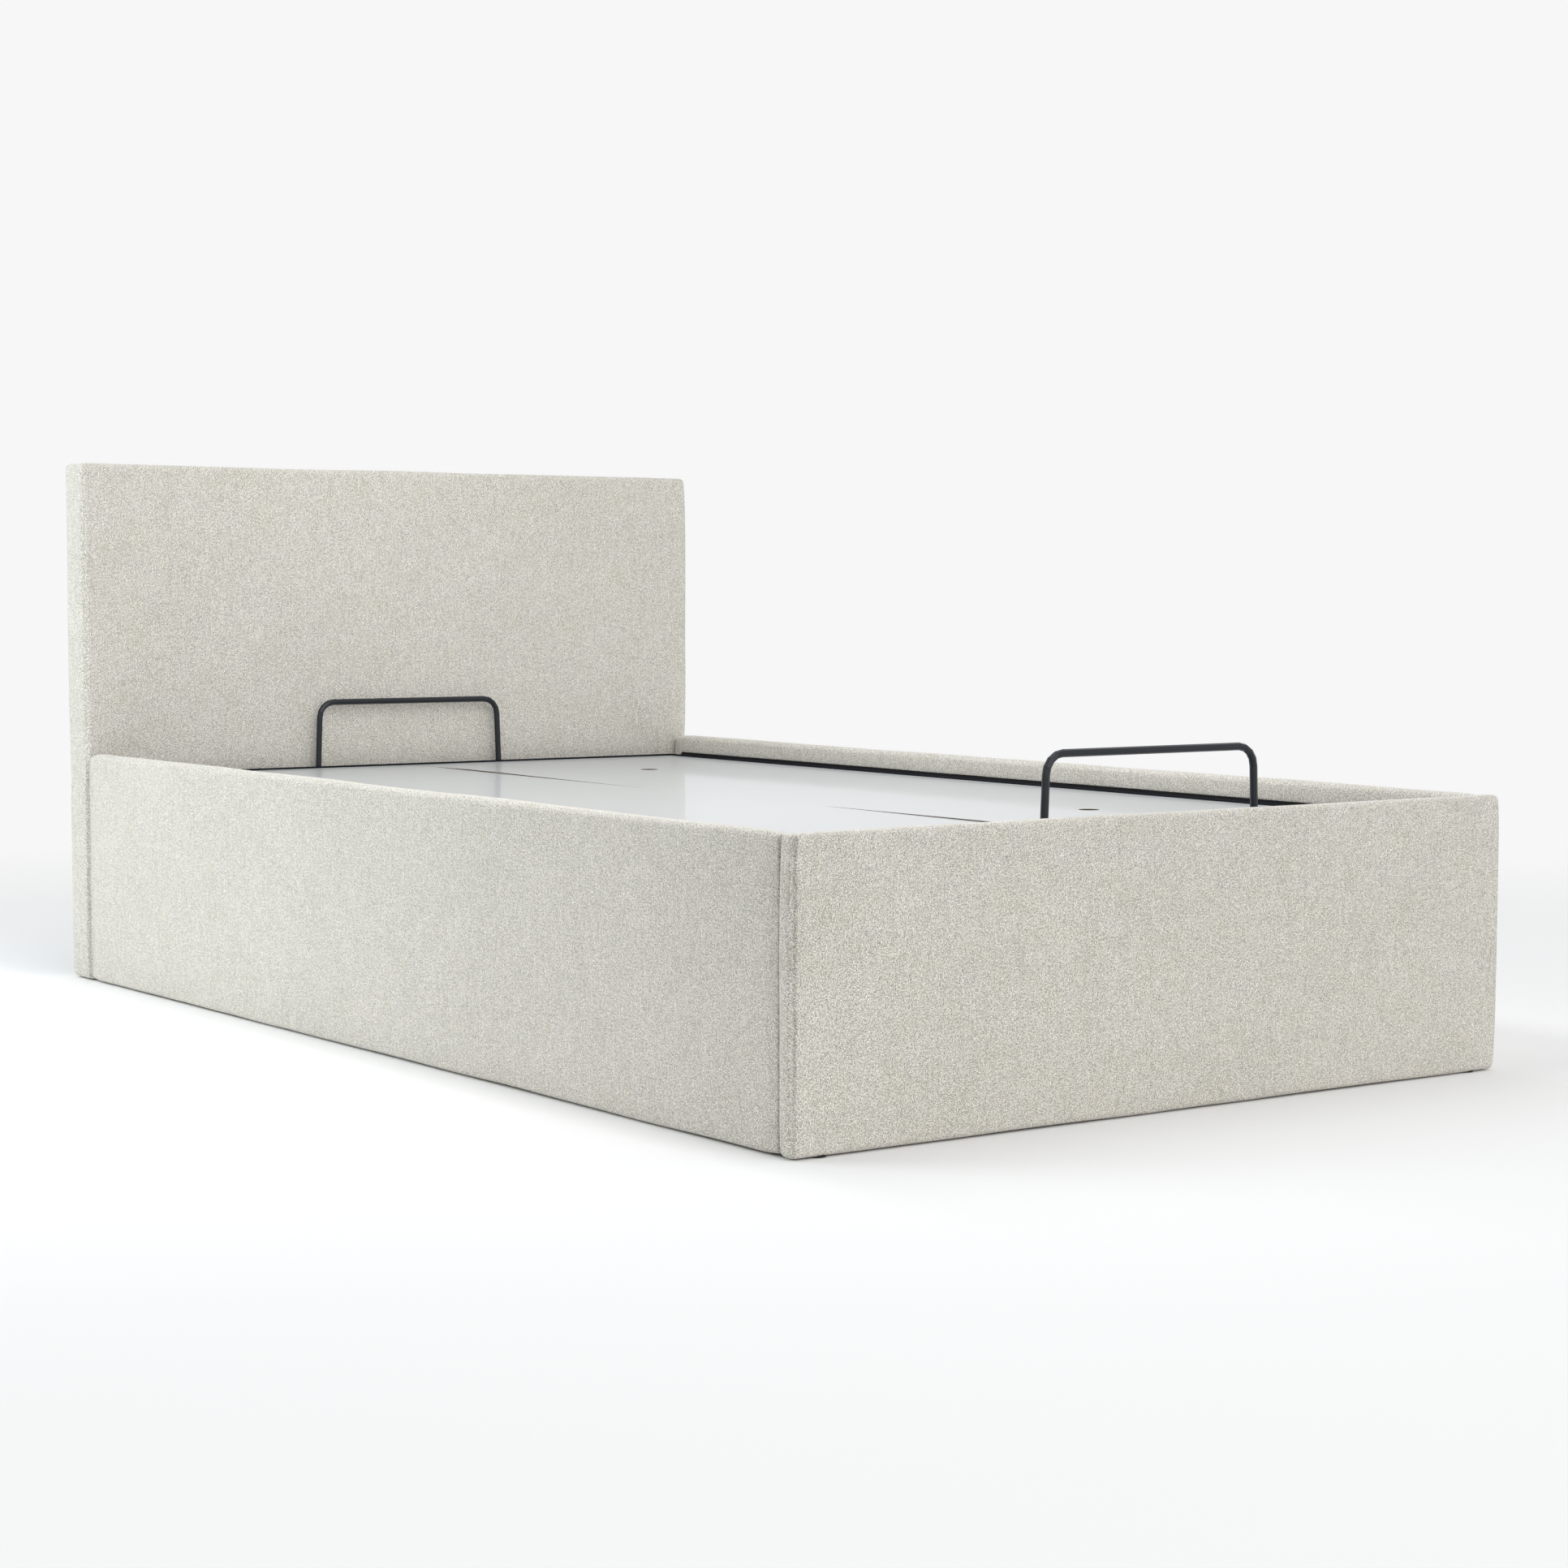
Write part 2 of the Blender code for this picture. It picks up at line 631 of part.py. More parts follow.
def make_corner_brackets():
    leg = CORNER_BRACKET_LEG
    wall = CORNER_BRACKET_WALL
    for end, face_y, into in (("foot", FOOT_FACE_Y, 1), ("head", HEAD_FACE_Y, -1)):
        for side, sign in SIDES:
            x0 = sign * PLATE_OUTER_X
            y0 = face_y + into * GAP
            outline = [(x0, y0), (x0 - sign * leg, y0), (x0 - sign * leg, y0 + into * wall),
                       (x0 - sign * wall, y0 + into * wall), (x0 - sign * wall, y0 + into * leg),
                       (x0, y0 + into * leg)]
            bm = bmesh.new()
            top = CORNER_BRACKET_BOTTOM + CORNER_BRACKET_HEIGHT
            add_plate(bm, outline, [], "Z", CORNER_BRACKET_BOTTOM, top)
            bracket = new_object("corner_bracket_" + end + "_" + side, bm, plated_steel)
            reach = leg * BOLT_ON_LEG_SHARE

            def bolts(tool):
                for height in CORNER_BOLT_HEIGHTS:
                    add_bolt(tool, Vector((x0 - sign * wall, y0 + into * reach, height)), Vector((sign, 0, 0)))
                    place = Vector((x0 - sign * reach, y0 + into * wall, height + BOLT_STAGGER))
                    add_bolt(tool, place, Vector((0, -into, 0)))

            fuse(bracket, bolts)


def make_foot_rest():
    """Angle steel along the footboard, on which the platform's foot end lies through two rubber buffers."""
    top = TUBE_BOTTOM - BUFFER_HEIGHT - 2 * GAP
    y0 = FOOT_FACE_Y + GAP
    wall = FOOT_REST_WALL
    half = RAIL_INNER_X - CORNER_BRACKET_LEG - FOOT_REST_END_ROOM
    outline = [(y0, top - FOOT_REST_HEIGHT), (y0 + wall, top - FOOT_REST_HEIGHT), (y0 + wall, top - wall),
               (y0 + FOOT_REST_DEPTH, top - wall), (y0 + FOOT_REST_DEPTH, top), (y0, top)]
    bm = bmesh.new()
    add_plate(bm, outline, [], "X", -half, half)
    rest = new_object("foot_rest", bm, plated_steel)

    def screws(tool):
        for share in FOOT_REST_SCREW_SHARES:
            place = Vector((half * share, y0 + wall, top - FOOT_REST_HEIGHT / 2))
            add_screw(tool, place, Vector((0, -1, 0)))

    fuse(rest, screws)
    for side, sign in SIDES:
        place = (sign * BUFFER_X, FRAME_FOOT_Y + TUBE_SIZE / 2, top + GAP)
        profile = rod_profile(BUFFER_HEIGHT, BUFFER_RADIUS)
        lathe(side + "_buffer", profile, place, (0, 0, 1), ROUND_SIDES, black_plastic)


def make_storage_floor():
    inside = HEAD_FACE_Y - FOOT_FACE_Y
    places = (("foot", BATTEN_FOOT_SHARE), ("middle", BATTEN_MIDDLE_SHARE), ("head", BATTEN_HEAD_SHARE))
    for end, share in places:
        y = FOOT_FACE_Y + inside * share
        low = (-RAIL_INNER_X + GAP, y - BATTEN_WIDTH / 2, GLIDE_HEIGHT)
        high = (RAIL_INNER_X - GAP, y + BATTEN_WIDTH / 2, GLIDE_HEIGHT + BATTEN_HEIGHT)
        batten = box("floor_batten_" + end, low, high, bare_wood)

        def glides(tool):
            for across in BATTEN_GLIDE_SHARES:
                place = Vector((RAIL_INNER_X * across, y, 0))
                profile = rod_profile(GLIDE_HEIGHT + FUSE_DEPTH, GLIDE_RADIUS)
                add_lathe(tool, profile, place, Vector((0, 0, 1)), ROUND_SIDES)

        fuse(batten, glides)
    half = RAIL_INNER_X - FLOOR_SIDE_ROOM
    joint = FOOT_FACE_Y + inside * FLOOR_JOINT_SHARE
    ends = (("foot", FOOT_FACE_Y + FLOOR_SIDE_ROOM, joint - FLOOR_JOINT_ROOM / 2),
            ("head", joint + FLOOR_JOINT_ROOM / 2, HEAD_FACE_Y - FLOOR_SIDE_ROOM))
    for end, start, stop in ends:
        top = FLOOR_BOTTOM + FLOOR_THICKNESS
        box("floor_panel_" + end, (-half, start, FLOOR_BOTTOM), (half, stop, top), glossy_board)


def make_glides():
    ends = (("foot", FOOT_THICKNESS / 2 - HALF_LENGTH), ("head", HALF_LENGTH - HEADBOARD_THICKNESS / 2))
    for end, y in ends:
        for side, sign in SIDES:
            profile = rod_profile(GLIDE_HEIGHT - GAP, GLIDE_RADIUS)
            place = (sign * GLIDE_X, y, 0)
            lathe("glide_" + end + "_" + side, profile, place, (0, 0, 1), ROUND_SIDES, black_plastic)


# Platform, which rides on the lift arms. Its pieces take the left arm's top pivot as origin
def platform_origin():
    return (-ARM_X, ARM_TOP_Y, ARM_TOP_Z)


def add_tube(bm, low, high, axis):
    """A square tube with open ends."""
    index = "XYZ".index(axis)
    names = [i for i in range(3) if i != index]
    u0, v0 = [low[i] for i in names]
    u1, v1 = [high[i] for i in names]
    wall = TUBE_WALL
    outer = rectangle(u0, v0, u1, v1)
    inner = rectangle(u0 + wall, v0 + wall, u1 - wall, v1 - wall)
    add_plate(bm, outer, [inner], axis, low[index], high[index])



def make_platform_frame():
    """Two side tubes with cross tubes welded between them, each with vent holes underneath."""
    bm = bmesh.new()
    foot = FRAME_FOOT_Y + TUBE_END_INSET
    head = FRAME_HEAD_Y - TUBE_END_INSET
    add_tube(bm, (-FRAME_X, foot, TUBE_BOTTOM), (TUBE_SIZE - FRAME_X, head, TUBE_TOP), "Y")
    add_tube(bm, (FRAME_X - TUBE_SIZE, foot, TUBE_BOTTOM), (FRAME_X, head, TUBE_TOP), "Y")
    frame = new_object("platform_frame", bm, dark_paint, platform_origin())
    inner = FRAME_X - TUBE_SIZE + TUBE_WELD
    starts = [foot + (head - foot - TUBE_SIZE) * share for share in CROSS_TUBE_SHARES]

    def cross_tubes(tool):
        for y in starts:
            add_tube(tool, (-inner, y, TUBE_BOTTOM), (inner, y + TUBE_SIZE, TUBE_TOP), "X")

    def vents(tool):
        profile = rod_profile(3 * TUBE_WALL, VENT_RADIUS)
        for y in starts:
            for _, sign in SIDES:
                place = Vector((sign * (inner - VENT_FROM_END), y + TUBE_SIZE / 2, TUBE_BOTTOM - TUBE_WALL))
                add_lathe(tool, profile, place, Vector((0, 0, 1)), SMALL_ROUND_SIDES)

    fuse(frame, cross_tubes)
    cut(frame, cutter("drill_vents", vents))


def edge_angle(name, start, end):
    """One mitred length of angle steel: a flat leg under the boards and a lip around them."""
    wall = EDGE_ANGLE_WALL
    low = ANGLE_BOTTOM
    top = PLATFORM_TOP + EDGE_LIP_ABOVE_BOARD
    profile = [(0, low), (EDGE_ANGLE_WIDTH, low), (EDGE_ANGLE_WIDTH, low + wall),
               (wall, low + wall), (wall, top), (0, top)]
    run = Vector((end[0] - start[0], end[1] - start[1], 0)).normalized()
    bm = bmesh.new()
    rings = []
    for (sx, sy), room in ((start, GAP), (end, -GAP)):
        y = FRAME_HEAD_Y if sy > 0 else FRAME_FOOT_Y
        ring = []
        for inset, z in profile:
            ring.append(bm.verts.new(Vector((sx * (FRAME_X - inset), y - sy * inset, z)) + run * room))
        rings.append(ring)
    first, last = rings
    for j in range(len(profile)):
        k = (j + 1) % len(profile)
        bm.faces.new((first[j], last[j], last[k], first[k]))
    for ring in rings:
        bm.faces.new(ring[0:4])
        bm.faces.new((ring[0], ring[3], ring[4], ring[5]))
    return new_object(name, bm, dark_paint, platform_origin())


def add_bar_sockets(bm, y):
    profile = ring_profile(0, SOCKET_LENGTH, SOCKET_INNER_RADIUS, SOCKET_OUTER_RADIUS)
    for _, sign in SIDES:
        place = Vector((sign * BAR_LEG_SPACING / 2, y, SOCKET_BOTTOM))
        add_lathe(bm, profile, place, Vector((0, 0, 1)), ROUND_SIDES, closed=True)


def make_edge_angles():
    edge_angle("edge_angle_left", (-1, 1), (-1, -1))
    edge_angle("edge_angle_right", (1, -1), (1, 1))
    foot = edge_angle("edge_angle_foot", (-1, -1), (1, -1))
    fuse(foot, lambda tool: add_bar_sockets(tool, BAR_FOOT_Y))
    head = edge_angle("edge_angle_head", (1, 1), (-1, 1))
    fuse(head, lambda tool: add_bar_sockets(tool, BAR_HEAD_Y))


def make_boards():
    edge = FRAME_X - EDGE_ANGLE_WALL - BOARD_EDGE_ROOM
    foot = FRAME_FOOT_Y + EDGE_ANGLE_WALL + BOARD_EDGE_ROOM
    head = FRAME_HEAD_Y - EDGE_ANGLE_WALL - BOARD_EDGE_ROOM
    seam = BOARD_SEAM / 2
    box("left_board", (-edge, foot, BOARD_BOTTOM), (-seam, head, PLATFORM_TOP), glossy_board, platform_origin())
    middle = (edge + seam) / 2
    holes = []
    for share in FINGER_HOLE_SHARES:
        y = foot + (head - foot) * share
        holes.append(circle_outline(middle, y, FINGER_HOLE_RADIUS, ROUND_SIDES))
    outline = rectangle(seam, foot, edge, head)
    plate("right_board", outline, holes, "Z", BOARD_BOTTOM, PLATFORM_TOP, glossy_board, platform_origin())


def bar_path(y):
    """Centre line of a retainer bar, from one leg's foot over the top to the other's."""
    foot_x = BAR_LEG_SPACING / 2
    top_x = foot_x - BAR_TOP_NARROWING
    straight_to = SOCKET_BOTTOM + SOCKET_LENGTH + BAR_ABOVE_SOCKET
    points = [Vector((-foot_x, y, BAR_BOTTOM_HEIGHT)), Vector((-foot_x, y, straight_to))]
    for sign in (-1, 1):
        centre = Vector((sign * (top_x - BAR_CORNER_RADIUS), y, BAR_CENTRE_HEIGHT - BAR_CORNER_RADIUS))
        for step in range(BAR_CORNER_STEPS + 1):
            angle = math.pi / 2 * step / BAR_CORNER_STEPS
            if sign > 0:
                angle = math.pi / 2 - angle
            points.append(centre + Vector((sign * math.cos(angle), 0, math.sin(angle))) * BAR_CORNER_RADIUS)
    points.append(Vector((foot_x, y, straight_to)))
    points.append(Vector((foot_x, y, BAR_BOTTOM_HEIGHT)))
    return points


def make_retainer_bar(name, y):
    points = bar_path(y)
    bm = bmesh.new()
    rings = []
    across = Vector((0, 1, 0))
    for i, point in enumerate(points):
        before = points[max(i - 1, 0)]
        after = points[min(i + 1, len(points) - 1)]
        tangent = (after - before).normalized()
        side = across.cross(tangent)
        ring = []
        for j in range(SMALL_ROUND_SIDES):
            angle = 2 * math.pi * j / SMALL_ROUND_SIDES
            out = across * math.cos(angle) + side * math.sin(angle)
            ring.append(bm.verts.new(point + out * BAR_RADIUS))
        rings.append(ring)
    for low, high in zip(rings, rings[1:]):
        for j in range(SMALL_ROUND_SIDES):
            k = (j + 1) % SMALL_ROUND_SIDES
            bm.faces.new((low[j], low[k], high[k], high[j]))
    bm.faces.new(rings[0])
    bm.faces.new(rings[-1])
    new_object(name, bm, dark_paint, platform_origin(), smooth=True)


def lug_outline(y, z, top_width):
    top = TUBE_BOTTOM + LUG_OVERLAP_HEIGHT
    points = [(y + top_width / 2, top), (y - top_width / 2, top), (y - top_width / 2, TUBE_BOTTOM - GAP)]
    for step in range(LUG_ROUND_STEPS + 1):
        angle = math.pi + math.pi * step / LUG_ROUND_STEPS
        points.append((y + LUG_END_RADIUS * math.cos(angle), z + LUG_END_RADIUS * math.sin(angle)))
    points.append((y + top_width / 2, TUBE_BOTTOM - GAP))
    return points



def make_lugs():
    for side, sign in SIDES:
        start = sign * LUG_X
        end = sign * LUG_OUTER_X
        outline = lug_outline(ARM_TOP_Y, ARM_TOP_Z, ARM_LUG_TOP_WIDTH)
        lug = plate(side + "_arm_lug", outline, [], "X", start, end, dark_paint, platform_origin())
        fuse(lug, lambda tool: add_arm_rivet(tool, sign))
        window_z = (TRACK_HEIGHT + TUBE_BOTTOM) / 2
        window = circle_outline(ROLLER_REST_Y, window_z, LUG_WINDOW_RADIUS, HOLE_SIDES)
        outline = lug_outline(ROLLER_REST_Y, TRACK_HEIGHT, ROLLER_LUG_TOP_WIDTH)
        lug = plate(side + "_roller_lug", outline, [window], "X", start, end, dark_paint, platform_origin())
        fuse(lug, lambda tool: add_roller_axle(tool, sign))


def add_arm_rivet(bm, sign):
    head = PIVOT_HEAD_THICKNESS
    grip = ARM_OUTER_X + RIVET_ROOM - LUG_X
    profile = [(-head, 0), (-head, PIVOT_HEAD_RADIUS),
               (FUSE_DEPTH, PIVOT_HEAD_RADIUS), (FUSE_DEPTH, PIVOT_RADIUS),
               (grip, PIVOT_RADIUS), (grip, PIVOT_HEAD_RADIUS),
               (grip + head, PIVOT_HEAD_RADIUS), (grip + head, 0)]
    add_lathe(bm, profile, Vector((sign * LUG_X, ARM_TOP_Y, ARM_TOP_Z)), Vector((sign, 0, 0)), ROUND_SIDES)


def add_roller_axle(bm, sign):
    head = PIVOT_HEAD_THICKNESS
    collar_end = ROLLER_X - LUG_X - GAP
    reach = PLATE_OUTER_X - TRACK_WALL - AXLE_END_ROOM - LUG_X
    profile = [(-head, 0), (-head, PIVOT_HEAD_RADIUS),
               (FUSE_DEPTH, PIVOT_HEAD_RADIUS), (FUSE_DEPTH, AXLE_COLLAR_RADIUS),
               (collar_end, AXLE_COLLAR_RADIUS), (collar_end, AXLE_RADIUS), (reach, AXLE_RADIUS), (reach, 0)]
    place = Vector((sign * LUG_X, ROLLER_REST_Y, TRACK_HEIGHT))
    add_lathe(bm, profile, place, Vector((sign, 0, 0)), ROUND_SIDES)


def make_rollers():
    edge = ROLLER_EDGE_ROUND
    profile = [(0, ROLLER_BORE_RADIUS), (0, ROLLER_RADIUS - edge),
               (edge, ROLLER_RADIUS), (ROLLER_WIDTH - edge, ROLLER_RADIUS),
               (ROLLER_WIDTH, ROLLER_RADIUS - edge), (ROLLER_WIDTH, ROLLER_BORE_RADIUS)]
    for side, sign in SIDES:
        centre = (sign * ROLLER_X, ROLLER_REST_Y, TRACK_HEIGHT)
        lathe(side + "_roller", profile, centre, (sign, 0, 0), ROLLER_SIDES, white_nylon, centre, closed=True)



def make_lift_arms():
    for side, sign in SIDES:
        c = math.cos(ARM_REST)
        s = math.sin(ARM_REST)

        def place(u, v):
            return (PIVOT_Y + u * c - v * s, TRACK_HEIGHT + u * s + v * c)

        outline = []
        turn = math.radians(ARM_END_TURN_DEGREES)
        sweep = 2 * (math.pi - turn)
        for step in range(ARM_ROUND_STEPS + 1):
            angle = turn + sweep * step / ARM_ROUND_STEPS
            outline.append(place(ARM_END_RADIUS * math.cos(angle), ARM_END_RADIUS * math.sin(angle)))
        outline.append(place(ARM_WAIST_START, -ARM_WAIST))
        outline.append(place(ARM_LENGTH - ARM_WAIST_START, -ARM_WAIST))
        for step in range(ARM_ROUND_STEPS + 1):
            angle = math.pi + turn + sweep * step / ARM_ROUND_STEPS
            u = ARM_LENGTH + ARM_END_RADIUS * math.cos(angle)
            outline.append(place(u, ARM_END_RADIUS * math.sin(angle)))
        outline.append(place(ARM_LENGTH - ARM_WAIST_START, ARM_WAIST))
        outline.append(place(ARM_WAIST_START, ARM_WAIST))
        holes = []
        for u in (0, ARM_LENGTH):
            y, z = place(u, 0)
            holes.append(circle_outline(y, z, PIVOT_HOLE_RADIUS, HOLE_SIDES))
        start = sign * ARM_X
        origin = (start, PIVOT_Y, TRACK_HEIGHT)
        plate(side + "_lift_arm", outline, holes, "X", start, sign * ARM_OUTER_X, dark_paint, origin)



def make_pivot_brackets():
    for side, sign in SIDES:
        low = TRACK_HEIGHT - PIVOT_BRACKET_BELOW
        base = low + PIVOT_BRACKET_BASE_HEIGHT
        top = TRACK_HEIGHT + PIVOT_BRACKET_ABOVE
        wide = PIVOT_BRACKET_BASE_WIDTH / 2
        neck = PIVOT_BRACKET_NECK_WIDTH / 2
        corners = [(PIVOT_Y - wide, low), (PIVOT_Y + wide, low),
                   (PIVOT_Y + wide, base), (PIVOT_Y + neck, TRACK_HEIGHT),
                   (PIVOT_Y + neck, top), (PIVOT_Y - neck, top),
                   (PIVOT_Y - neck, TRACK_HEIGHT), (PIVOT_Y - wide, base)]
        outline = rounded_outline(corners, PLATE_CORNER, PLATE_CORNER_STEPS)
        inset = PLATE_CORNER * SCREW_INSET_SHARE
        spots = [(PIVOT_Y - wide + inset, low + inset), (PIVOT_Y + wide - inset, low + inset),
                 (PIVOT_Y - neck + inset, top - inset), (PIVOT_Y + neck - inset, top - inset)]
        window_z = (base + TRACK_HEIGHT) / 2 - PIVOT_BRACKET_SLOT_RADIUS
        window = circle_outline(PIVOT_Y, window_z, PIVOT_BRACKET_SLOT_RADIUS, ROUND_SIDES)
        name = side + "_pivot_bracket"
        bracket = plate(name, outline, [window], "X", sign * PLATE_X, sign * PLATE_OUTER_X, plated_steel)
        boss = PLATE_X - ARM_OUTER_X - ARM_SIDE_ROOM
        shank = boss + ARM_THICKNESS + 2 * ARM_SIDE_ROOM
        cap = shank + PIVOT_CAP_THICKNESS
        profile = [(-FUSE_DEPTH, 0), (-FUSE_DEPTH, PIVOT_BOSS_RADIUS),
                   (boss, PIVOT_BOSS_RADIUS), (boss, PIVOT_RADIUS),
                   (shank, PIVOT_RADIUS), (shank, PIVOT_CAP_RADIUS), (cap, PIVOT_CAP_RADIUS), (cap, 0)]

        def stud_and_screws(tool):
            place = Vector((sign * PLATE_X, PIVOT_Y, TRACK_HEIGHT))
            add_lathe(tool, profile, place, Vector((-sign, 0, 0)), ROUND_SIDES)
            for y, z in spots:
                add_screw(tool, Vector((sign * PLATE_X, y, z)), Vector((sign, 0, 0)))

        fuse(bracket, stud_and_screws)


def make_roller_tracks():
    reach = PIVOT_Y + 2 * ARM_LENGTH * math.cos(ARM_REST + math.radians(LIFT_DEGREES))
    half = ROLLER_RADIUS + TRACK_RUNNING_ROOM
    start = reach - TRACK_FOOT_ROOM
    end = ROLLER_REST_Y + TRACK_HEAD_ROOM
    tab_start = start - TRACK_TAB_LENGTH
    tab_end = end + TRACK_TAB_LENGTH
    for side, sign in SIDES:
        x0 = sign * PLATE_OUTER_X
        x1 = x0 - sign * TRACK_WALL
        x2 = x0 - sign * TRACK_DEPTH
        outline = [(x0, TRACK_HEIGHT - half - TRACK_WALL), (x2, TRACK_HEIGHT - half - TRACK_WALL),
                   (x2, TRACK_HEIGHT - half),
                   (x1, TRACK_HEIGHT - half), (x1, TRACK_HEIGHT + half), (x2, TRACK_HEIGHT + half),
                   (x2, TRACK_HEIGHT + half + TRACK_WALL), (x0, TRACK_HEIGHT + half + TRACK_WALL)]
        bm = bmesh.new()
        add_plate(bm, outline, [], "Y", start, end)
        track = new_object(side + "_roller_track", bm, plated_steel)

        def tabs(tool):
            for a, b in ((tab_start, start + TRACK_TAB_LAP), (end - TRACK_TAB_LAP, tab_end)):
                near = (x0, a, TRACK_HEIGHT - TRACK_TAB_WIDTH / 2)
                far = (x1 + sign * TRACK_TAB_THINNER, b, TRACK_HEIGHT + TRACK_TAB_WIDTH / 2)
                low, high = sorted_box(near, far)
                add_box(tool, low, high)

        def screws(tool):
            for y in ((tab_start + start) / 2, (tab_end + end) / 2):
                add_screw(tool, Vector((x1 + sign * TRACK_TAB_THINNER, y, TRACK_HEIGHT)), Vector((sign, 0, 0)))

        fuse(track, tabs)
        fuse(track, screws)


def add_strut_stud(bm, plate_face, into, y, z):
    """A shoulder stud that carries one eye of the strut, standing on a plate and pointing into the bed."""
    eye_start = abs(plate_face + into * STRUT_X) - STRUT_EYE_WIDTH / 2 - STRUT_SIDE_ROOM
    shank_end = eye_start + STRUT_EYE_WIDTH + 2 * STRUT_SIDE_ROOM
    cap_end = shank_end + STRUT_STUD_CAP_THICKNESS
    profile = [(-FUSE_DEPTH, 0), (-FUSE_DEPTH, STRUT_STUD_BOSS_RADIUS),
               (eye_start, STRUT_STUD_BOSS_RADIUS), (eye_start, STRUT_STUD_RADIUS),
               (shank_end, STRUT_STUD_RADIUS), (shank_end, STRUT_STUD_CAP_RADIUS),
               (cap_end, STRUT_STUD_CAP_RADIUS), (cap_end, 0)]
    add_lathe(bm, profile, Vector((plate_face, y, z)), Vector((into, 0, 0)), ROUND_SIDES)


def make_strut_brackets():
    for side, sign in SIDES:
        half_width = STRUT_BRACKET_WIDTH / 2
        half_height = STRUT_BRACKET_HEIGHT / 2
        corners = rectangle(STRUT_BASE_Y - half_width, STRUT_BASE_Z - half_height,
                            STRUT_BASE_Y + half_width, STRUT_BASE_Z + half_height)
        outline = rounded_outline(corners, PLATE_CORNER, PLATE_CORNER_STEPS)
        inset = PLATE_CORNER * SCREW_INSET_SHARE
        spots = []
        for a in (-1, 1):
            for b in (-1, 1):
                spots.append((STRUT_BASE_Y + a * (half_width - inset), STRUT_BASE_Z + b * (half_height - inset)))
        start = sign * PLATE_X
        bracket = plate(side + "_strut_base_bracket", outline, [], "X", start, sign * PLATE_OUTER_X, plated_steel)

        def stud_and_screws(tool):
            add_strut_stud(tool, start, -sign, STRUT_BASE_Y, STRUT_BASE_Z)
            for y, z in spots:
                add_screw(tool, Vector((start, y, z)), Vector((sign, 0, 0)))

        fuse(bracket, stud_and_screws)
        x0 = sign * FRAME_X
        top = TUBE_BOTTOM - GAP
        wall = PLATE_THICKNESS
        x2 = x0 - sign * STRUT_TOP_BRACKET_WIDTH
        low = top - STRUT_TOP_BRACKET_DEPTH
        outline = [(x0, top), (x2, top), (x2, top - wall), (x0 - sign * wall, top - wall),
                   (x0 - sign * wall, low), (x0, low)]
        bm = bmesh.new()
        reach = STRUT_TOP_BRACKET_LENGTH / 2
        add_plate(bm, outline, [], "Y", STRUT_TOP_Y - reach, STRUT_TOP_Y + reach)
        bracket = new_object(side + "_strut_top_bracket", bm, dark_paint, platform_origin())
        fuse(bracket, lambda tool: add_strut_stud(tool, sign * (FRAME_X - wall), -sign, STRUT_TOP_Y, STRUT_TOP_Z))


def add_eye(bm, centre, direction, neck_to, hole_radius):
    """An eye for a stud along X: a ring, flattened where the neck joins it, and its neck."""
    across = Vector((0, -direction.z, direction.y))
    outline = []
    reach = math.sqrt(STRUT_EYE_RADIUS ** 2 - STRUT_NECK_RADIUS ** 2)
    start = math.asin(STRUT_NECK_RADIUS / STRUT_EYE_RADIUS)
    for step in range(EYE_STEPS + 1):
        angle = start + (2 * math.pi - 2 * start) * step / EYE_STEPS
        point = centre + (direction * math.cos(angle) + across * math.sin(angle)) * STRUT_EYE_RADIUS
        outline.append((point.y, point.z))
    far = max(neck_to, reach)
    for side in (-1, 1):
        point = centre + direction * far + across * STRUT_NECK_RADIUS * side
        outline.append((point.y, point.z))
    hole = circle_outline(centre.y, centre.z, hole_radius, HOLE_SIDES)
    add_plate(bm, outline, [hole], "X", centre.x - STRUT_EYE_WIDTH / 2, centre.x + STRUT_EYE_WIDTH / 2)



def make_struts():
    direction = STRUT_RUN.normalized()
    start = STRUT_BODY_START
    end = STRUT_REST_LENGTH - STRUT_BODY_FROM_TOP
    gland = end - STRUT_GLAND_LENGTH
    round_off = STRUT_BODY_RADIUS - STRUT_BORE_RADIUS
    inside = start + STRUT_END_WALL
    cylinder = [(start, 0), (start, STRUT_BORE_RADIUS),
                (start + round_off, STRUT_BODY_RADIUS), (end - round_off, STRUT_BODY_RADIUS),
                (end, STRUT_BORE_RADIUS), (end, STRUT_ROD_HOLE_RADIUS),
                (gland, STRUT_ROD_HOLE_RADIUS), (gland, STRUT_BORE_RADIUS),
                (inside, STRUT_BORE_RADIUS), (inside, 0)]
    piston_end = STRUT_PISTON_START + STRUT_PISTON_LENGTH
    rod_end = STRUT_REST_LENGTH - ROD_NECK_LENGTH + FUSE_DEPTH
    rod = [(STRUT_PISTON_START, 0), (STRUT_PISTON_START, STRUT_PISTON_RADIUS),
           (piston_end, STRUT_PISTON_RADIUS),
           (piston_end, STRUT_ROD_RADIUS), (rod_end, STRUT_ROD_RADIUS), (rod_end, 0)]
    for side, sign in SIDES:
        base = Vector((sign * STRUT_X, STRUT_BASE_Y, STRUT_BASE_Z))
        top = base + direction * STRUT_REST_LENGTH
        thing = lathe(side + "_strut_cylinder", cylinder, base, direction, ROUND_SIDES, dark_paint, base)
        fuse(thing, lambda tool: add_eye(tool, base, direction, start + FUSE_DEPTH, STRUT_EYE_HOLE_RADIUS))
        thing = lathe(side + "_strut_rod", rod, base, direction, ROUND_SIDES, plated_steel, top)
        fuse(thing, lambda tool: add_eye(tool, top, -direction, ROD_NECK_LENGTH, STRUT_TOP_EYE_HOLE_RADIUS))


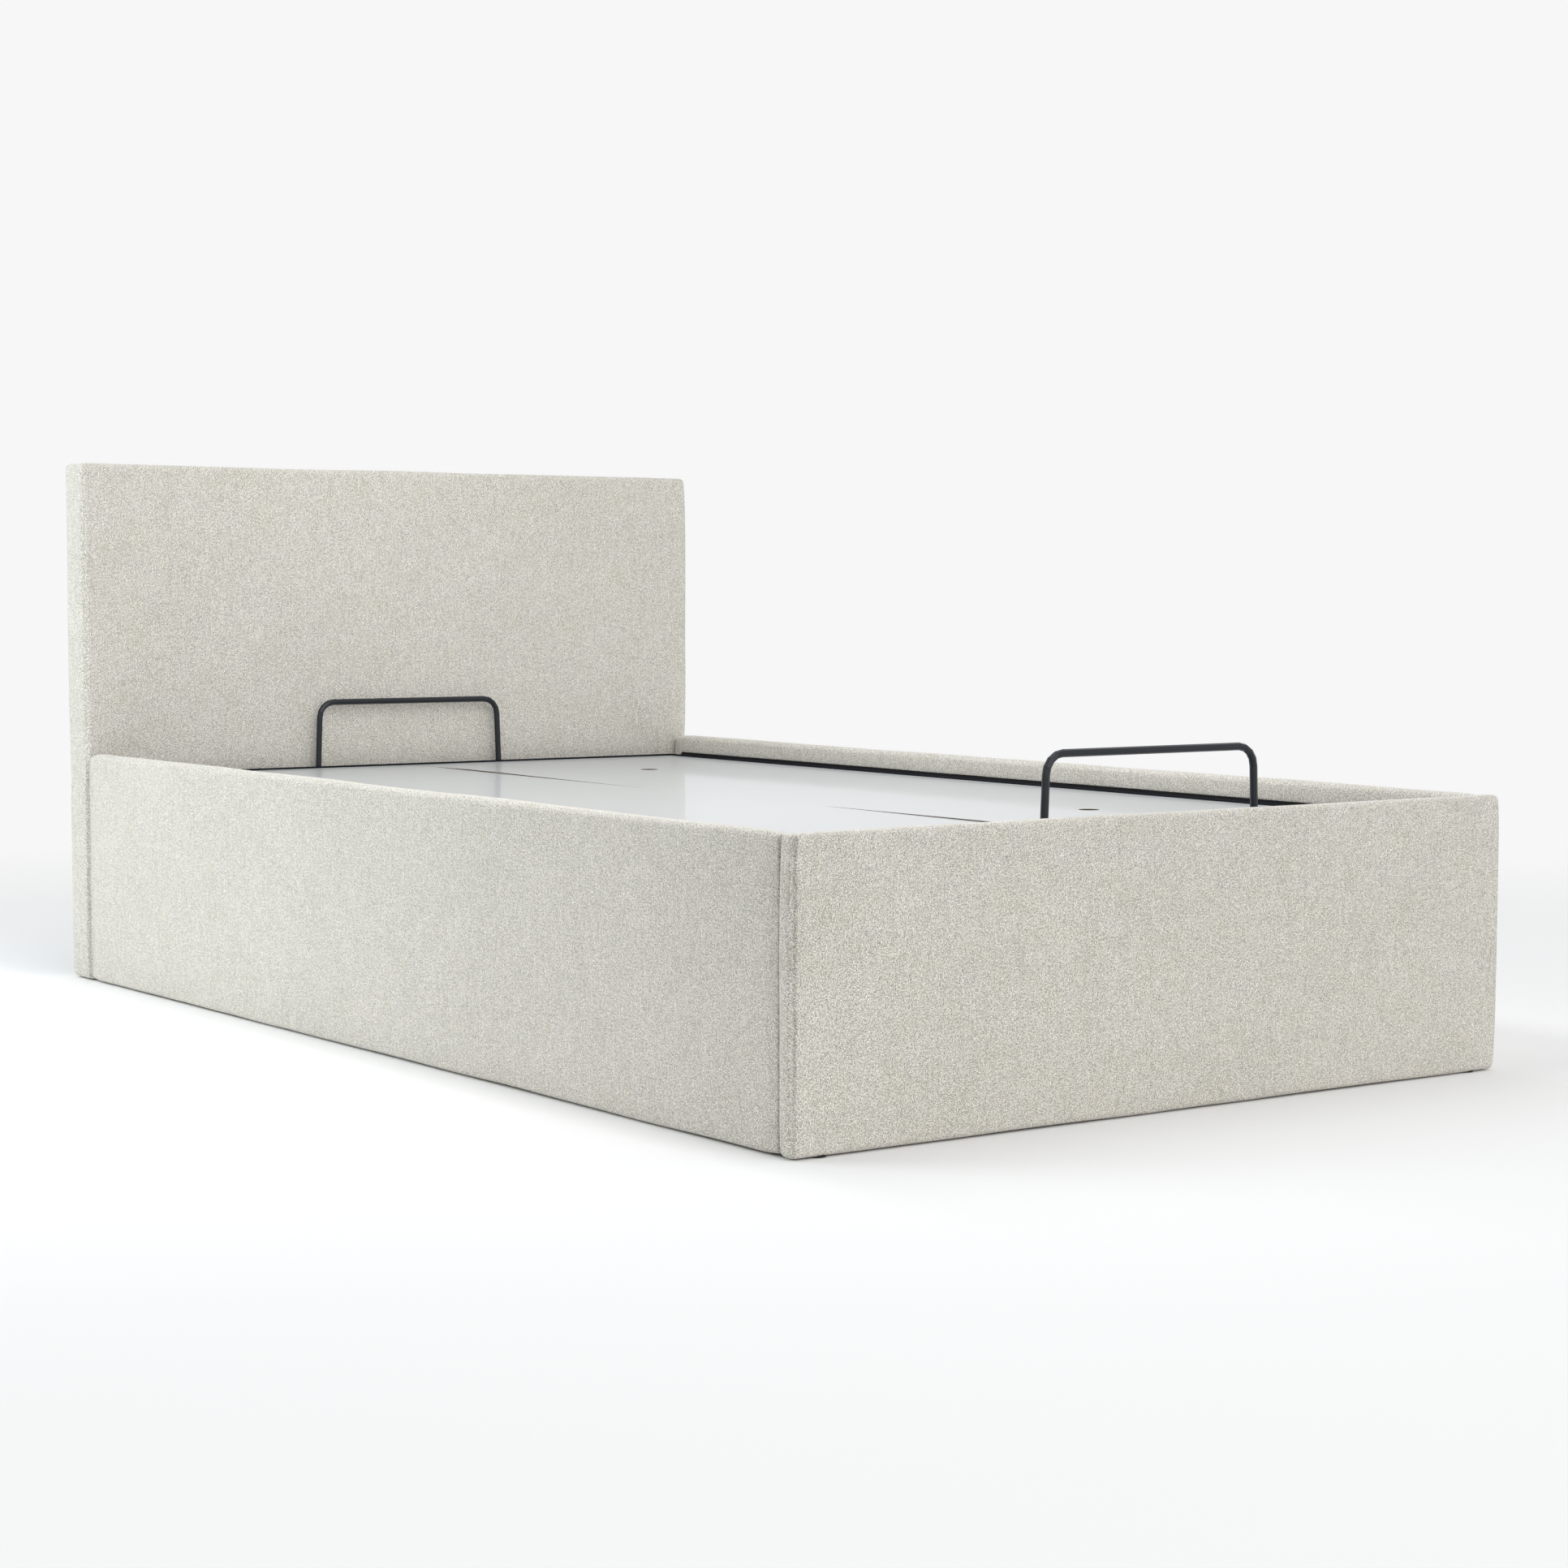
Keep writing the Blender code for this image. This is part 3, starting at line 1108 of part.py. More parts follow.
clear_scene()
make_corner_brackets()
make_pivot_brackets()
make_roller_tracks()
make_strut_brackets()
make_foot_rest()
make_box_panels()
make_storage_floor()
make_glides()
make_platform_frame()
make_edge_angles()
make_boards()
make_retainer_bar("head_retainer_bar", BAR_HEAD_Y)
make_retainer_bar("foot_retainer_bar", BAR_FOOT_Y)
make_lugs()
make_rollers()
make_lift_arms()
make_struts()
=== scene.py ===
"""Hydraulic storage bed, dressed on its CAD frame: padded chenille panels, glossy boards, dark steel."""

import math
from collections import namedtuple

import bmesh
import bpy
from mathutils import Matrix, Vector, noise


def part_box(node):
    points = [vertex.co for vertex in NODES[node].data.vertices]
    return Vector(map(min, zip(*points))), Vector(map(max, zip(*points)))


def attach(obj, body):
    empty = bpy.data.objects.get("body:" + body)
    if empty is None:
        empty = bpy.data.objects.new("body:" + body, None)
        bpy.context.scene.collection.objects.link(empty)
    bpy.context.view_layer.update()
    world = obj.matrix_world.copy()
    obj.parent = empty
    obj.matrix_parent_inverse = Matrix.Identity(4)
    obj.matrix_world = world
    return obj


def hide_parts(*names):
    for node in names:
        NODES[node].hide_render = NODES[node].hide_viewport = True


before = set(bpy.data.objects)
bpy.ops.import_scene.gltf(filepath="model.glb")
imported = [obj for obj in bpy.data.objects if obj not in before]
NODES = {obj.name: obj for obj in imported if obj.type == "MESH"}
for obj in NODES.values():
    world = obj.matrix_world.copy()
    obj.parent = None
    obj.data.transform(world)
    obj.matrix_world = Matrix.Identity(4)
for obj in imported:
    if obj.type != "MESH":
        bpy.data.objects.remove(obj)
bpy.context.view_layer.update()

# Camera, solved from the photograph's straight edges: metres, degrees and the photograph's pixels
PHOTO_SIZE = 1932
CAMERA_PLACE = (-2.6200, -3.7983, 0.6505)
CAMERA_YAW = -35.9161
CAMERA_PITCH = -4.9647
CAMERA_ROLL = 0.1723
CAMERA_FOCAL_PIXELS = 3831.77
CAMERA_CENTRE = (966.0, 1050.0)
SENSOR_MM = 36.0

# Studio: a glow from all round, weaker from the side that the near corner faces, over a pale floor
GLOW = 0.95
GLOW_COLOUR = (0.97, 0.985, 1.0)
SHADY_WAY = (-0.9, -0.44, 0.0)
SHADY_SHARE = 0.15
BACKDROP_COLOUR = (0.93, 0.93, 0.93)
WINDOW_COLOUR = (0.89, 0.965, 1.0)
FLOOR_COLOUR = (0.93, 0.925, 0.92)
FLOOR_RADIUS = 4.0
FLOOR_SIDES = 96
FLOOR_DROP = 0.0002
FLOOR_FADE_START = 1.2
FLOOR_FADE_END = 3.6

# Padded panels: rounded edges, with mesh lines close together where the surface turns
EDGE_RADIUS = 0.0085
DIAGONAL = 45.0
SQUARE = 90.0
EDGE_TURNS = (45.0, 33.75, 22.5, 11.25)
GRID_STEP = 0.012
CORNER_ROUND = 0.008
CORNER_SPREAD = 17.0
NEARLY_EVEN = 0.999
SEED_STEP = 3.7

# The covers that end near the floor reach a little lower than in the CAD frame
NEAR_FLOOR = 0.01
HANG = 0.0024

# Swell of the padding on the outer faces and on the left and right sides, and how wide its flat middle is
CROWN = 0.0022
SIDE_CROWNS = {"head": (0.0028, 0.0115), "foot": (0.0034, 0.0050)}
FACE_POWER = 6
SIDE_POWER = 2.5

# Slight waves of the padding: a broad one and a finer one
RIPPLE = 0.0012
RIPPLE_SCALE = 4.0
FINE_RIPPLE_SHARE = 0.5
FINE_RIPPLE_RATIO = 2.3

# The rails' ends are drawn in and get painted shade towards their joints, -1 at the footboard and 1 at
# the headboard
TUCK_DEPTH = 0.0035
TUCK_LENGTH = 0.035
TUCK_SHADE = 0.22
END_SHADES = {-1: 0.26, 1: 0.72}
END_POWER = 16

# Sewn seams down the front corners of the footboard and the headboard, with painted shade in their
# grooves
SEAM_WIDTH = 0.0026
SEAM_DEPTHS = {"head": 0.0014, "foot": 0.0026}
SEAM_SHADES = {"head": 0.06, "foot": 0.10}
SEAM_FACING = 0.05
PUCKER = 0.4
PUCKER_SCALE = 55

# The joint between the headboard's two sections has a tighter edge, on the side given here
JOINT_SIDES = {"headboard_lower": 1, "headboard_upper": -1}
TIGHT_SHARE = 0.8

# The cloth's edge round a lining or backing: soft turn, depth, and the steps as shares of the turn
LIP_SOFT = 0.0014
LIP_DEPTH = 0.0048
LIP_TURN_SHARES = ((0.5, 0.3), (0.35, 0.7))
LIP_WALL_SHARE = 0.1
LIP_REACH = 1.5
LEVEL_SHARE = 0.05
LINING_ROOM = 0.0003

# Where a board's inner edge stands proud of the other one: places along the bed, and heights there
WARP_REACH = 0.19
WARP_SINK = 0.0004
WARP_STEP = 0.02
HEAD_WARP = ((0.25, 0.0), (0.42, 0.0006), (0.60, 0.0015), (0.72, 0.0016), (0.80, 0.0005), (0.83, 0.0))
FOOT_WARP = ((-0.94, 0.0014), (-0.70, 0.0017), (-0.55, 0.0012), (-0.40, 0.0005), (-0.27, 0.0))
LEFT_WARP = ((-0.31, 0.0), (-0.24, 0.00035), (0.12, 0.00035), (0.22, 0.0))

# Cloth: slanting yarn, soft clouds of colour, upright streaks, and painted shade in the creases
YARN_PER_METRE = 800.0
YARN_SHORTNESS = 0.62
YARN_DETAIL = 2.0
YARN_RELIEF = 0.0005
CLOUD_SCALE = 24.0
CLOUD_DETAIL = 6.0
CLOUD_ROUGHNESS = 0.72
BROAD_SCALE = 5.0
BROAD_DETAIL = 2.0
BROAD_STRENGTH = 0.022
STREAK_SCALE = (400.0, 400.0, 30.0)
STREAK_DETAIL = 2.0
STREAK_STRENGTH = 0.060
NOISE_LOW = 0.30
NOISE_HIGH = 0.70
# Dark brown of the painted shade in creases, seams and joints
PAINTED_SHADE_COLOUR = (0.10, 0.085, 0.065)

# Other finishes
GRAIN_DETAIL = 4.0
ROUGHNESS_SWING = 0.06
GRAIN_RELIEF = 0.0003
PAINT_RELIEF = 0.00008
# The boards' dark core colour, which also stands in as painted shade in the gaps between the boards
BOARD_CORE_AND_GAP_SHADE = (0.13, 0.085, 0.05)
EDGE_TILT_LOW = 0.4
EDGE_TILT_HIGH = 0.6

# Panels, each with the axis and the sign of the side that holds its lining or backing
PANELS = (
    ("left_rail", "X", 1),
    ("right_rail", "X", -1),
    ("footboard", "Y", 1),
    ("headboard_lower", "Y", 1),
    ("headboard_upper", "Y", 1),
)
Trim = namedtuple("Trim", "crowns corners tucks seams tight seed")


def add(tree, kind, inputs=None, **settings):
    """A new node with its settings and the plain values of its named inputs."""
    node = tree.nodes.new(kind)
    for name, value in settings.items():
        setattr(node, name, value)
    for name, value in (inputs or {}).items():
        node.inputs[name].default_value = value
    return node


def link(tree, source, target):
    tree.links.new(source, target)


def empty_tree(owner):
    """The cleared node tree of a material or a world."""
    owner.use_nodes = True
    owner.node_tree.nodes.clear()
    return owner.node_tree


def opaque(colour):
    return (*colour, 1)


def new_group(name, inputs, outputs):
    """An empty shader node group with named sockets: its tree, its input node and its output node."""
    group = bpy.data.node_groups.new(name, "ShaderNodeTree")
    for socket, kind in inputs.items():
        group.interface.new_socket(name=socket, in_out="INPUT", socket_type="NodeSocket" + kind)
    for socket, kind in outputs.items():
        group.interface.new_socket(name=socket, in_out="OUTPUT", socket_type="NodeSocket" + kind)
    return group, add(group, "NodeGroupInput"), add(group, "NodeGroupOutput")


def ranged(tree, source, low, high, to_low, to_high):
    """A value's range between low and high, stretched to another range."""
    ends = {"From Min": low, "From Max": high, "To Min": to_low, "To Max": to_high}
    node = add(tree, "ShaderNodeMapRange", ends)
    link(tree, source, node.inputs["Value"])
    return node.outputs[0]


def swing(tree, source):
    """A noise's middle range, stretched to swing between minus one and one."""
    return ranged(tree, source, NOISE_LOW, NOISE_HIGH, -1.0, 1.0)


def sum_of(tree, first, second, factor=1.0):
    """The first value plus the second one times a factor."""
    node = add(tree, "ShaderNodeMath", operation="MULTIPLY_ADD")
    node.inputs[1].default_value = factor
    link(tree, second, node.inputs[0])
    link(tree, first, node.inputs[2])
    return node.outputs[0]


def scaled(tree, place, scale):
    """Coordinates stretched along each axis."""
    node = add(tree, "ShaderNodeMapping", {"Scale": scale})
    link(tree, place, node.inputs["Vector"])
    return node.outputs[0]


def noise_of(tree, place, scale, detail, roughness=0.5, distortion=0.0):
    values = {"Scale": scale, "Detail": detail, "Roughness": roughness, "Distortion": distortion}
    node = add(tree, "ShaderNodeTexNoise", values)
    link(tree, place, node.inputs["Vector"])
    return node.outputs["Fac"]


def blend(tree, factor, first, second):
    """A mix of two colours, each a socket or a plain colour."""
    node = add(tree, "ShaderNodeMix", data_type="RGBA")
    link(tree, factor, node.inputs["Factor"])
    for name, colour in (("A", first), ("B", second)):
        if isinstance(colour, tuple):
            node.inputs[name].default_value = opaque(colour)
        else:
            link(tree, colour, node.inputs[name])
    return node.outputs["Result"]


def relief(tree, height, shader, strength, distance):
    """Bumps in a material's surface."""
    bump = add(tree, "ShaderNodeBump", {"Strength": strength, "Distance": distance})
    link(tree, height, bump.inputs["Height"])
    link(tree, bump.outputs["Normal"], shader.inputs["Normal"])


def principled(name, **values):
    """A material with one Principled shader, and the inputs given by their names in plain letters."""
    material = bpy.data.materials.new(name)
    tree = empty_tree(material)
    output = add(tree, "ShaderNodeOutputMaterial")
    inputs = {key.replace("_", " ").title(): value for key, value in values.items()}
    inputs["Specular IOR Level"] = inputs.pop("Specular", 0.5)
    shader = add(tree, "ShaderNodeBsdfPrincipled", inputs)
    link(tree, shader.outputs["BSDF"], output.inputs["Surface"])
    return material, tree, shader


def slanting_yarn(group, place):
    """Short flecks that lean the same way on every face of a panel."""
    split = add(group, "ShaderNodeSeparateXYZ")
    link(group, place, split.inputs[0])
    x, y, z = split.outputs
    along = sum_of(group, x, y)
    slant = add(group, "ShaderNodeCombineXYZ")
    link(group, sum_of(group, along, z), slant.inputs["X"])
    link(group, sum_of(group, along, z, -1.0), slant.inputs["Y"])
    link(group, sum_of(group, x, y, -1.0), slant.inputs["Z"])
    long_yarn = YARN_PER_METRE * YARN_SHORTNESS
    yarn = scaled(group, slant.outputs[0], (YARN_PER_METRE, long_yarn, long_yarn))
    return noise_of(group, yarn, 1.0, YARN_DETAIL)


def yarn_brightness(group, place, fleck, strength):
    """How much lighter or darker the cloth is at a place."""
    node = add(group, "ShaderNodeMath", operation="MULTIPLY_ADD")
    link(group, swing(group, fleck), node.inputs[0])
    link(group, strength, node.inputs[1])
    node.inputs[2].default_value = 1.0
    streak = noise_of(group, scaled(group, place, STREAK_SCALE), 1.0, STREAK_DETAIL)
    broad = noise_of(group, place, BROAD_SCALE, BROAD_DETAIL)
    value = sum_of(group, node.outputs[0], swing(group, streak), STREAK_STRENGTH)
    return sum_of(group, value, swing(group, broad), BROAD_STRENGTH)


def chenille_cloth():
    """Cloudy colour with slanting flecks of yarn and painted shade in the creases."""
    inputs = {"Pale": "Color", "Warm": "Color", "Fleck": "Float"}
    outputs = {"Color": "Color", "Height": "Float"}
    group, give, take = new_group("Chenille cloth", inputs, outputs)
    place = add(group, "ShaderNodeTexCoord").outputs["Object"]
    fleck = slanting_yarn(group, place)
    cloud = noise_of(group, place, CLOUD_SCALE, CLOUD_DETAIL, CLOUD_ROUGHNESS)
    tint = ranged(group, cloud, NOISE_LOW, NOISE_HIGH, 0.0, 1.0)
    cloudy = blend(group, tint, give.outputs["Warm"], give.outputs["Pale"])
    shade = add(group, "ShaderNodeVectorMath", operation="SCALE")
    link(group, cloudy, shade.inputs[0])
    link(group, yarn_brightness(group, place, fleck, give.outputs["Fleck"]), shade.inputs["Scale"])
    # Painted shade: the cloth is mixed towards a dark brown in creases, seams and joints
    painted_shade = add(group, "ShaderNodeAttribute", attribute_name="painted_shade").outputs["Fac"]
    link(group, blend(group, painted_shade, shade.outputs[0], PAINTED_SHADE_COLOUR), take.inputs["Color"])
    link(group, fleck, take.inputs["Height"])
    return group


def uneven_finish():
    """Slightly uneven colour and roughness, with a height for fine relief."""
    inputs = {"Dark": "Color", "Light": "Color", "Smooth": "Float", "Rough": "Float", "Grain": "Float"}
    outputs = {"Color": "Color", "Roughness": "Float", "Height": "Float"}
    group, give, take = new_group("Uneven finish", inputs, outputs)
    place = add(group, "ShaderNodeTexCoord").outputs["Object"]
    grain = add(group, "ShaderNodeTexNoise", {"Detail": GRAIN_DETAIL})
    link(group, place, grain.inputs["Vector"])
    link(group, give.outputs["Grain"], grain.inputs["Scale"])
    height = grain.outputs["Fac"]
    link(group, blend(group, height, give.outputs["Dark"], give.outputs["Light"]), take.inputs["Color"])
    rough = add(group, "ShaderNodeMapRange")
    link(group, height, rough.inputs["Value"])
    link(group, give.outputs["Smooth"], rough.inputs["To Min"])
    link(group, give.outputs["Rough"], rough.inputs["To Max"])
    link(group, rough.outputs[0], take.inputs["Roughness"])
    link(group, height, take.inputs["Height"])
    return group


CLOTH = chenille_cloth()
UNEVEN = uneven_finish()


def chenille(name, pale, warm, fleck, depth):
    """Upholstery cloth in two close colours."""
    material, tree, shader = principled(name, roughness=0.92, sheen_weight=0.25, sheen_roughness=0.45,
                                        specular=0.2)
    values = {"Pale": opaque(pale), "Warm": opaque(warm), "Fleck": fleck}
    cloth = add(tree, "ShaderNodeGroup", node_tree=CLOTH)
    for socket, value in values.items():
        cloth.inputs[socket].default_value = value
    link(tree, cloth.outputs["Color"], shader.inputs["Base Color"])
    relief(tree, cloth.outputs["Height"], shader, depth, YARN_RELIEF)
    return material


def finish_parts(name, colour, variation, grain, roughness, bumps=0.0, distance=GRAIN_RELIEF, **shading):
    """A plain finish with slight unevenness: the material, its tree, its shader and its colour."""
    material, tree, shader = principled(name, roughness=roughness, **shading)
    values = {
        "Dark": opaque([channel * (1 - variation) for channel in colour]),
        "Light": opaque([min(1.0, channel * (1 + variation)) for channel in colour]),
        "Smooth": max(0.0, roughness - ROUGHNESS_SWING),
        "Rough": min(1.0, roughness + ROUGHNESS_SWING),
        "Grain": grain,
    }
    uneven = add(tree, "ShaderNodeGroup", node_tree=UNEVEN)
    for socket, value in values.items():
        uneven.inputs[socket].default_value = value
    link(tree, uneven.outputs["Color"], shader.inputs["Base Color"])
    link(tree, uneven.outputs["Roughness"], shader.inputs["Roughness"])
    if bumps:
        relief(tree, uneven.outputs["Height"], shader, bumps, distance)
    return material, tree, shader, uneven.outputs["Color"]


def finish(name, **values):
    """A plain finish with slight unevenness."""
    return finish_parts(name, **values)[0]


def glossy_board(name, core, coat, **values):
    """A coated board, whose narrow edges show its dark core without the coat; that dark colour also
    paints the shade in the gaps between the boards.
    """
    material, tree, shader, face = finish_parts(name, **values)
    facing = add(tree, "ShaderNodeTexCoord").outputs["Normal"]
    split = add(tree, "ShaderNodeSeparateXYZ")
    link(tree, facing, split.inputs[0])
    tilt = add(tree, "ShaderNodeMath", operation="ABSOLUTE")
    link(tree, split.outputs["Z"], tilt.inputs[0])
    flat = ranged(tree, tilt.outputs[0], EDGE_TILT_LOW, EDGE_TILT_HIGH, 0.0, 1.0)
    link(tree, blend(tree, flat, core, face), shader.inputs["Base Color"])
    coated = ranged(tree, tilt.outputs[0], EDGE_TILT_LOW, EDGE_TILT_HIGH, 0.0, coat)
    link(tree, coated, shader.inputs["Coat Weight"])
    return material


def bare_timber(name, light, dark, stretch, rings, roughness, bumps, distance):
    """Timber with streaks along one axis."""
    material, tree, shader = principled(name, roughness=roughness, specular=0.3)
    place = scaled(tree, add(tree, "ShaderNodeTexCoord").outputs["Object"], stretch)
    height = noise_of(tree, place, **rings)
    link(tree, blend(tree, height, dark, light), shader.inputs["Base Color"])
    relief(tree, height, shader, bumps, distance)
    return material


FABRIC = chenille("Greige chenille", pale=(0.654, 0.624, 0.574), warm=(0.616, 0.586, 0.511), fleck=0.82,
                  depth=0.25)
LINING = finish("Black lining", colour=(0.012, 0.012, 0.014), variation=0.3, grain=900.0, roughness=0.85,
                bumps=0.3, specular=0.2)
PARTICLE = finish("Particle board", colour=(0.50, 0.37, 0.24), variation=0.35, grain=350.0, roughness=0.8,
                  bumps=0.3)
BOARD = glossy_board("Glossy grey board", core=BOARD_CORE_AND_GAP_SHADE, coat=0.37, colour=(0.545, 0.560, 0.565),
                     variation=0.015, grain=3.0, roughness=0.42, specular=0.1, coat_roughness=0.05)
FLOOR_BOARD = finish("Storage floor board", colour=(0.60, 0.58, 0.54), variation=0.05, grain=60.0,
                     roughness=0.4)
STEEL_PAINT = finish("Dark powder coat", colour=(0.010, 0.013, 0.018), variation=0.15, grain=1400.0,
                     roughness=0.32, bumps=0.12, distance=PAINT_RELIEF, specular=0.35)
EDGE_PAINT = finish("Dull powder coat", colour=(0.008, 0.010, 0.014), variation=0.15, grain=1400.0,
                    roughness=0.6, bumps=0.12, distance=PAINT_RELIEF, specular=0.10)
ZINC = finish("Zinc plating", colour=(0.60, 0.60, 0.58), variation=0.10, grain=90.0, roughness=0.36,
              metallic=1.0)
RUBBER = finish("Black rubber", colour=(0.018, 0.018, 0.018), variation=0.2, grain=500.0, roughness=0.8)
NYLON = finish("White nylon", colour=(0.72, 0.72, 0.69), variation=0.04, grain=200.0, roughness=0.45)
STRUT_PAINT = finish("Strut paint", colour=(0.010, 0.010, 0.011), variation=0.1, grain=200.0,
                     roughness=0.22)
POLISHED = finish("Polished rod", colour=(0.68, 0.68, 0.68), variation=0.03, grain=300.0, roughness=0.14,
                  metallic=1.0)
PINE = bare_timber("Pine batten", light=(0.62, 0.46, 0.28), dark=(0.42, 0.28, 0.15),
                   stretch=(1.0, 14.0, 14.0), rings={"scale": 6.0, "detail": 6.0, "distortion": 0.6},
                   roughness=0.65, bumps=0.15, distance=0.0004)


def new_object(name, mesh):
    thing = bpy.data.objects.new(name, mesh)
    bpy.context.collection.objects.link(thing)
    return thing


def finished_mesh(name, bm, material):
    """A plain mesh from a finished bmesh, in one material."""
    mesh = bpy.data.meshes.new(name)
    bm.to_mesh(mesh)
    bm.free()
    mesh.materials.append(material)
    return mesh


def grid_lines(low, high, marks):
    """Places of a panel's mesh lines along one axis, with one at each mark."""
    turns = [EDGE_RADIUS * (1 - math.tan(math.radians(angle))) for angle in EDGE_TURNS] + [EDGE_RADIUS]
    span = high - low - 2 * EDGE_RADIUS
    lines = [low + turn for turn in turns]
    if span > GRID_STEP:
        count = max(2, round(span / GRID_STEP))
        lines += [low + EDGE_RADIUS + span * i / count for i in range(1, count)]
    lines += [high - turn for turn in reversed(turns)]
    for mark in marks:
        nearest = min(range(len(lines)), key=lambda i: abs(lines[i] - mark))
        lines[nearest] = mark
    return lines


def box_skin(lines):
    """The surface of a box as a grid on the given lines, with a value per vertex for the shade painted in
    its creases.
    """
    bm = bmesh.new()
    bm.verts.layers.float.new("painted_shade")
    last = [len(one) - 1 for one in lines]
    made = {}

    def vert(key):
        if key not in made:
            made[key] = bm.verts.new([lines[axis][key[axis]] for axis in range(3)])
        return made[key]

    def square(axis, end, i, j):
        ring = []
        for step_i, step_j in ((0, 0), (1, 0), (1, 1), (0, 1)):
            key = [0, 0, 0]
            key[axis] = end
            key[(axis + 1) % 3] = i + step_i
            key[(axis + 2) % 3] = j + step_j
            ring.append(vert(tuple(key)))
        return ring if end else ring[::-1]

    for axis in range(3):
        for end in (0, last[axis]):
            for i in range(last[(axis + 1) % 3]):
                for j in range(last[(axis + 2) % 3]):
                    bm.faces.new(square(axis, end, i, j))
    return bm


def round_corner(core, out, place, centre, ways):
    """Widens the rounding of a corner between two axes, seen along the third."""
    a, b = [axis for axis in range(3) if ways[axis]]
    reach_a = (core[a] - centre[a]) * ways[a]
    reach_b = (core[b] - centre[b]) * ways[b]
    if reach_a < 0 or reach_b < 0 or reach_a + reach_b == 0:
        return place
    out_a = out[a] * ways[a]
    out_b = out[b] * ways[b]
    rim = math.hypot(out_a, out_b)
    ratio = min(reach_a, reach_b) / max(reach_a, reach_b)
    inner = DIAGONAL * ratio
    outer = (DIAGONAL - CORNER_SPREAD) * ratio
    if reach_a > reach_b:
        inner = SQUARE - inner
        outer = SQUARE - outer
    if ratio > NEARLY_EVEN and rim > 0:
        lean = math.degrees(math.atan2(out_a, out_b)) - DIAGONAL
        outer = DIAGONAL + CORNER_SPREAD * lean / DIAGONAL
    angle = math.radians(inner * (1 - rim) + outer * rim)
    length = max(reach_a, reach_b) + EDGE_RADIUS * rim
    moved = place.copy()
    moved[a] = centre[a] + ways[a] * length * math.sin(angle)
    moved[b] = centre[b] + ways[b] * length * math.cos(angle)
    return moved


def rounded_place(spot, low, high, trim):
    """Where a point of the box goes on the rounded box, and the way that the surface faces there."""
    core = Vector([min(max(spot[i], low[i] + EDGE_RADIUS), high[i] - EDGE_RADIUS) for i in range(3)])
    out = (spot - core).normalized()
    place = core + out * EDGE_RADIUS
    if trim.tight and (spot.z - (low.z + high.z) / 2) * trim.tight > 0:
        level = Vector((core.x, core.y, spot.z))
        place = place.lerp(level + (spot - level).normalized() * EDGE_RADIUS, TIGHT_SHARE)
    inset = EDGE_RADIUS + CORNER_ROUND
    for ways in trim.corners:
        centre = [high[i] - inset if ways[i] > 0 else low[i] + inset for i in range(3)]
        place = round_corner(core, out, place, centre, ways)
    return place, out


def crown_at(place, out, low, high, crowns):
    """Swell of the padding, full in the middle of a face and none at its edges."""
    share = [(place[i] - low[i]) / (high[i] - low[i]) * 2 - 1 for i in range(3)]
    swell = 0.0
    for axis in range(3):
        crown = crowns[axis][1 if out[axis] > 0 else 0] * abs(out[axis])
        for other in range(3):
            if other != axis:
                power = SIDE_POWER if (axis, other) == (0, 1) else FACE_POWER
                crown *= 1 - abs(share[other]) ** power
        swell += crown
    return swell


def tuck_at(spot, out, low, high, tucks):
    """How far a panel's end is drawn in at a point, and how much shade is painted on the cloth there."""
    depth = 0.0
    shade = 0.0
    for axis, sign in tucks:
        end = high[axis] if sign > 0 else low[axis]
        near = max(0.0, 1 - abs(spot[axis] - end) / TUCK_LENGTH)
        aside = 1 - abs(out[axis])
        depth += TUCK_DEPTH * near ** 2 * aside
        # Painted shade towards the panel's ends and into the joints
        shade = max(shade, TUCK_SHADE * near ** 3 * aside, END_SHADES[sign] * near ** END_POWER)
    return depth, shade


def seam_at(spot, out, seams, seed):
    """How deep a sewn corner seam is at a point, and how much shade is painted on the cloth there."""
    depth = 0.0
    shade = 0.0
    for side, front, full_depth, full_shade in seams:
        if out.x * side > SEAM_FACING and out.y * front > SEAM_FACING:
            turn = math.atan2(out.y * front, out.x * side) - math.pi / 4
            near = math.exp(-(EDGE_RADIUS * turn / SEAM_WIDTH) ** 2) * math.hypot(out.x, out.y)
            near *= 1 + PUCKER * noise.noise(Vector((seed + side, 0, spot.z * PUCKER_SCALE)))
            depth += full_depth * near
            shade = max(shade, full_shade * near)
    return depth, shade


def wave_at(place, seed):
    """Slight waves of the padding under the cloth."""
    broad = noise.noise(place * RIPPLE_SCALE + Vector((seed, 0, 0)))
    fine = noise.noise(place * RIPPLE_SCALE * FINE_RIPPLE_RATIO + Vector((0, seed, 0)))
    return RIPPLE * (broad + FINE_RIPPLE_SHARE * fine)


def shape_padding(bm, low, high, trim):
    """Rounds, crowns, tucks and sews a box's skin, and marks the shade painted in its creases."""
    low = Vector(low)
    high = Vector(high)
    painted_shades = bm.verts.layers.float["painted_shade"]
    for vert in bm.verts:
        place, out = rounded_place(vert.co, low, high, trim)
        tuck, tuck_shade = tuck_at(vert.co, out, low, high, trim.tucks)
        seam, seam_shade = seam_at(vert.co, out, trim.seams, trim.seed)
        swell = crown_at(place, out, low, high, trim.crowns) - tuck - seam
        # Painted shade in the tucks, joints and seams, kept per vertex
        vert[painted_shades] = max(tuck_shade, seam_shade)
        vert.co = place + out * (swell + wave_at(place, trim.seed))


def lip_steps():
    """Inset and depth of each step from the cloth's edge down to the lining."""
    steps = [(LIP_SOFT * inset, -LIP_SOFT * depth) for inset, depth in LIP_TURN_SHARES]
    return steps + [(LIP_SOFT * LIP_WALL_SHARE, LIP_SOFT - LIP_DEPTH)]


